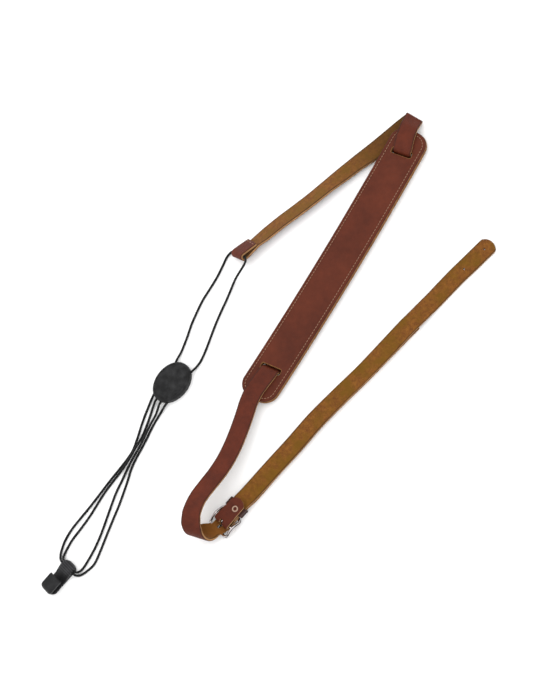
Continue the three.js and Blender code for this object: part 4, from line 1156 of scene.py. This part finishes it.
# ---- Keeper loop --------------------------------------------------------------------------
# A narrow band of leather sewn into a flat loop round both straps, behind the buckle, its grain coloured
# far darker than the straps' as painted shade.
# Much darker colours than the straps' grain: painted shade for the shadow the keeper lies in.
keeper_leather = grain_leather("keeper_grain_painted_shade", (35, 15, 9), (62, 28, 18), (31, 15, 10), 40.0)
outer_half = KEEPER["inside"] + KEEPER["wall"] / 2
band = rounded_loop(outer_half, KEEPER["ceiling"] / 2, KEEPER["round"] + KEEPER["wall"] / 2, 120)
band_middle = (KEEPER["ceiling"] + KEEPER["wall"]) / 2
band_path = local(BUCKLE, KEEPER["from"] + KEEPER["length"] / 2, band[:, 0], band_middle + band[:, 1])
band_ahead = np.roll(band_path, -1, 0) - np.roll(band_path, 1, 0)
band_out = unit(np.cross(band_ahead, bearing(BUCKLE["heading"])))
# share along the band's width, share of the wall's thickness
BAND_SECTION = np.array([
    [-1, -0.5], [-0.93, -1], [-0.5, -1], [0, -1], [0.5, -1], [0.93, -1], [1, -0.5],
    [1, 0.5], [0.93, 1], [0.5, 1], [0, 1], [-0.5, 1], [-0.93, 1], [-1, 0.5],
])
band_rings = (
    band_path[:, None]
    + BAND_SECTION[None, :, :1] * KEEPER["length"] / 2 * MM * bearing(BUCKLE["heading"])
    + BAND_SECTION[None, :, 1:] * KEEPER["wall"] / 2 * MM * band_out[:, None]
)
keeper = surface("keeper_band", band_rings, [keeper_leather], closed=True, crease=50)
finish_piece(keeper, "keeper_leather", "keeper_loop")

# ---- Rivet --------------------------------------------------------------------------------
# A small hollow rivet, domed and chromed, that holds the flap, the keeper and the tail together.
RIVET = {"along": 13.8, "across": 2.6, "head": 2.8, "eye": 1.2, "shank": 1.7, "rise": 0.8, "foot": 5.2}
seat = FLAP_Z + STRAP_MID + 0.05
# radius, height
RIVET_PROFILE = np.array([
    [RIVET["eye"], RIVET["foot"]],
    [RIVET["shank"], RIVET["foot"]],
    [RIVET["shank"], seat],
    [RIVET["head"] - 0.1, seat],
    [RIVET["head"], seat + 0.15],
    [RIVET["head"] - 0.12, seat + 0.42],
    [RIVET["head"] - 0.45, seat + 0.68],
    [RIVET["head"] - 0.8, seat + RIVET["rise"]],
    [RIVET["shank"], seat + 0.74],
    [RIVET["eye"] + 0.2, seat + 0.5],
    [RIVET["eye"], seat + 0.15],
])
spin = np.linspace(0, 2 * np.pi, 40, endpoint=False)[:, None]
rivet_rings = local(
    BUCKLE, RIVET["along"] + RIVET_PROFILE[:, 0] * np.cos(spin),
    RIVET["across"] + RIVET_PROFILE[:, 0] * np.sin(spin), RIVET_PROFILE[:, 1])
# The rivet's nickel has painted shade on its sloping sides and a painted highlight on its top.
worn_nickel_painted_shine = plated("worn_nickel_painted_shine", (84, 66, 56), (160, 131, 114), 0.25)
rivet = surface("rivet_head", rivet_rings, [worn_nickel_painted_shine], closed=True, crease=50)
finish_piece(rivet, "buckle_metal", "rivet")

# ---- Floor and lights ---------------------------------------------------------------------
# A plain white floor under broad soft lights.
paper = Finish("white_floor", roughness=0.9, specular_ior_level=0.0)
paper.colour(paper.mix(paper.noise(40 * MM, 2.0), tint(250, 250, 250), tint(252, 252, 252)))
floor_edge = 3.0
floor_corners = [[-floor_edge, -floor_edge, 0], [floor_edge, -floor_edge, 0],
                 [floor_edge, floor_edge, 0], [-floor_edge, floor_edge, 0]]
floor_mesh = bpy.data.meshes.new("floor")
floor_mesh.from_pydata(floor_corners, [], [[0, 1, 2, 3]])
floor_mesh.materials.append(paper.material)
floor = bpy.data.objects.new("floor", floor_mesh)
bpy.context.scene.collection.objects.link(floor)

world = bpy.data.worlds.new("studio")
bpy.context.scene.world = world
bpy.context.scene.view_settings.view_transform = "Standard"
world.use_nodes = True
world.node_tree.nodes["Background"].inputs["Color"].default_value = (1, 1, 1, 1)
world.node_tree.nodes["Background"].inputs["Strength"].default_value = 1.42
# name, where it stands, power in watts, side in metres
for name, spot, power, side in (
    ("key", (-0.7, 0.5, 1.5), 2.5, 1.2),
    ("fill", (0.9, -0.6, 1.4), 1, 1.4),
):
    lamp = bpy.data.lights.new(name, "AREA")
    lamp.energy, lamp.size = power, side
    shone = bpy.data.objects.new(name, lamp)
    bpy.context.scene.collection.objects.link(shone)
    aim = Vector(CAMERA["target"]) - Vector(spot)
    shone.matrix_world = Matrix.Translation(spot) @ aim.to_track_quat("-Z", "Y").to_matrix().to_4x4()
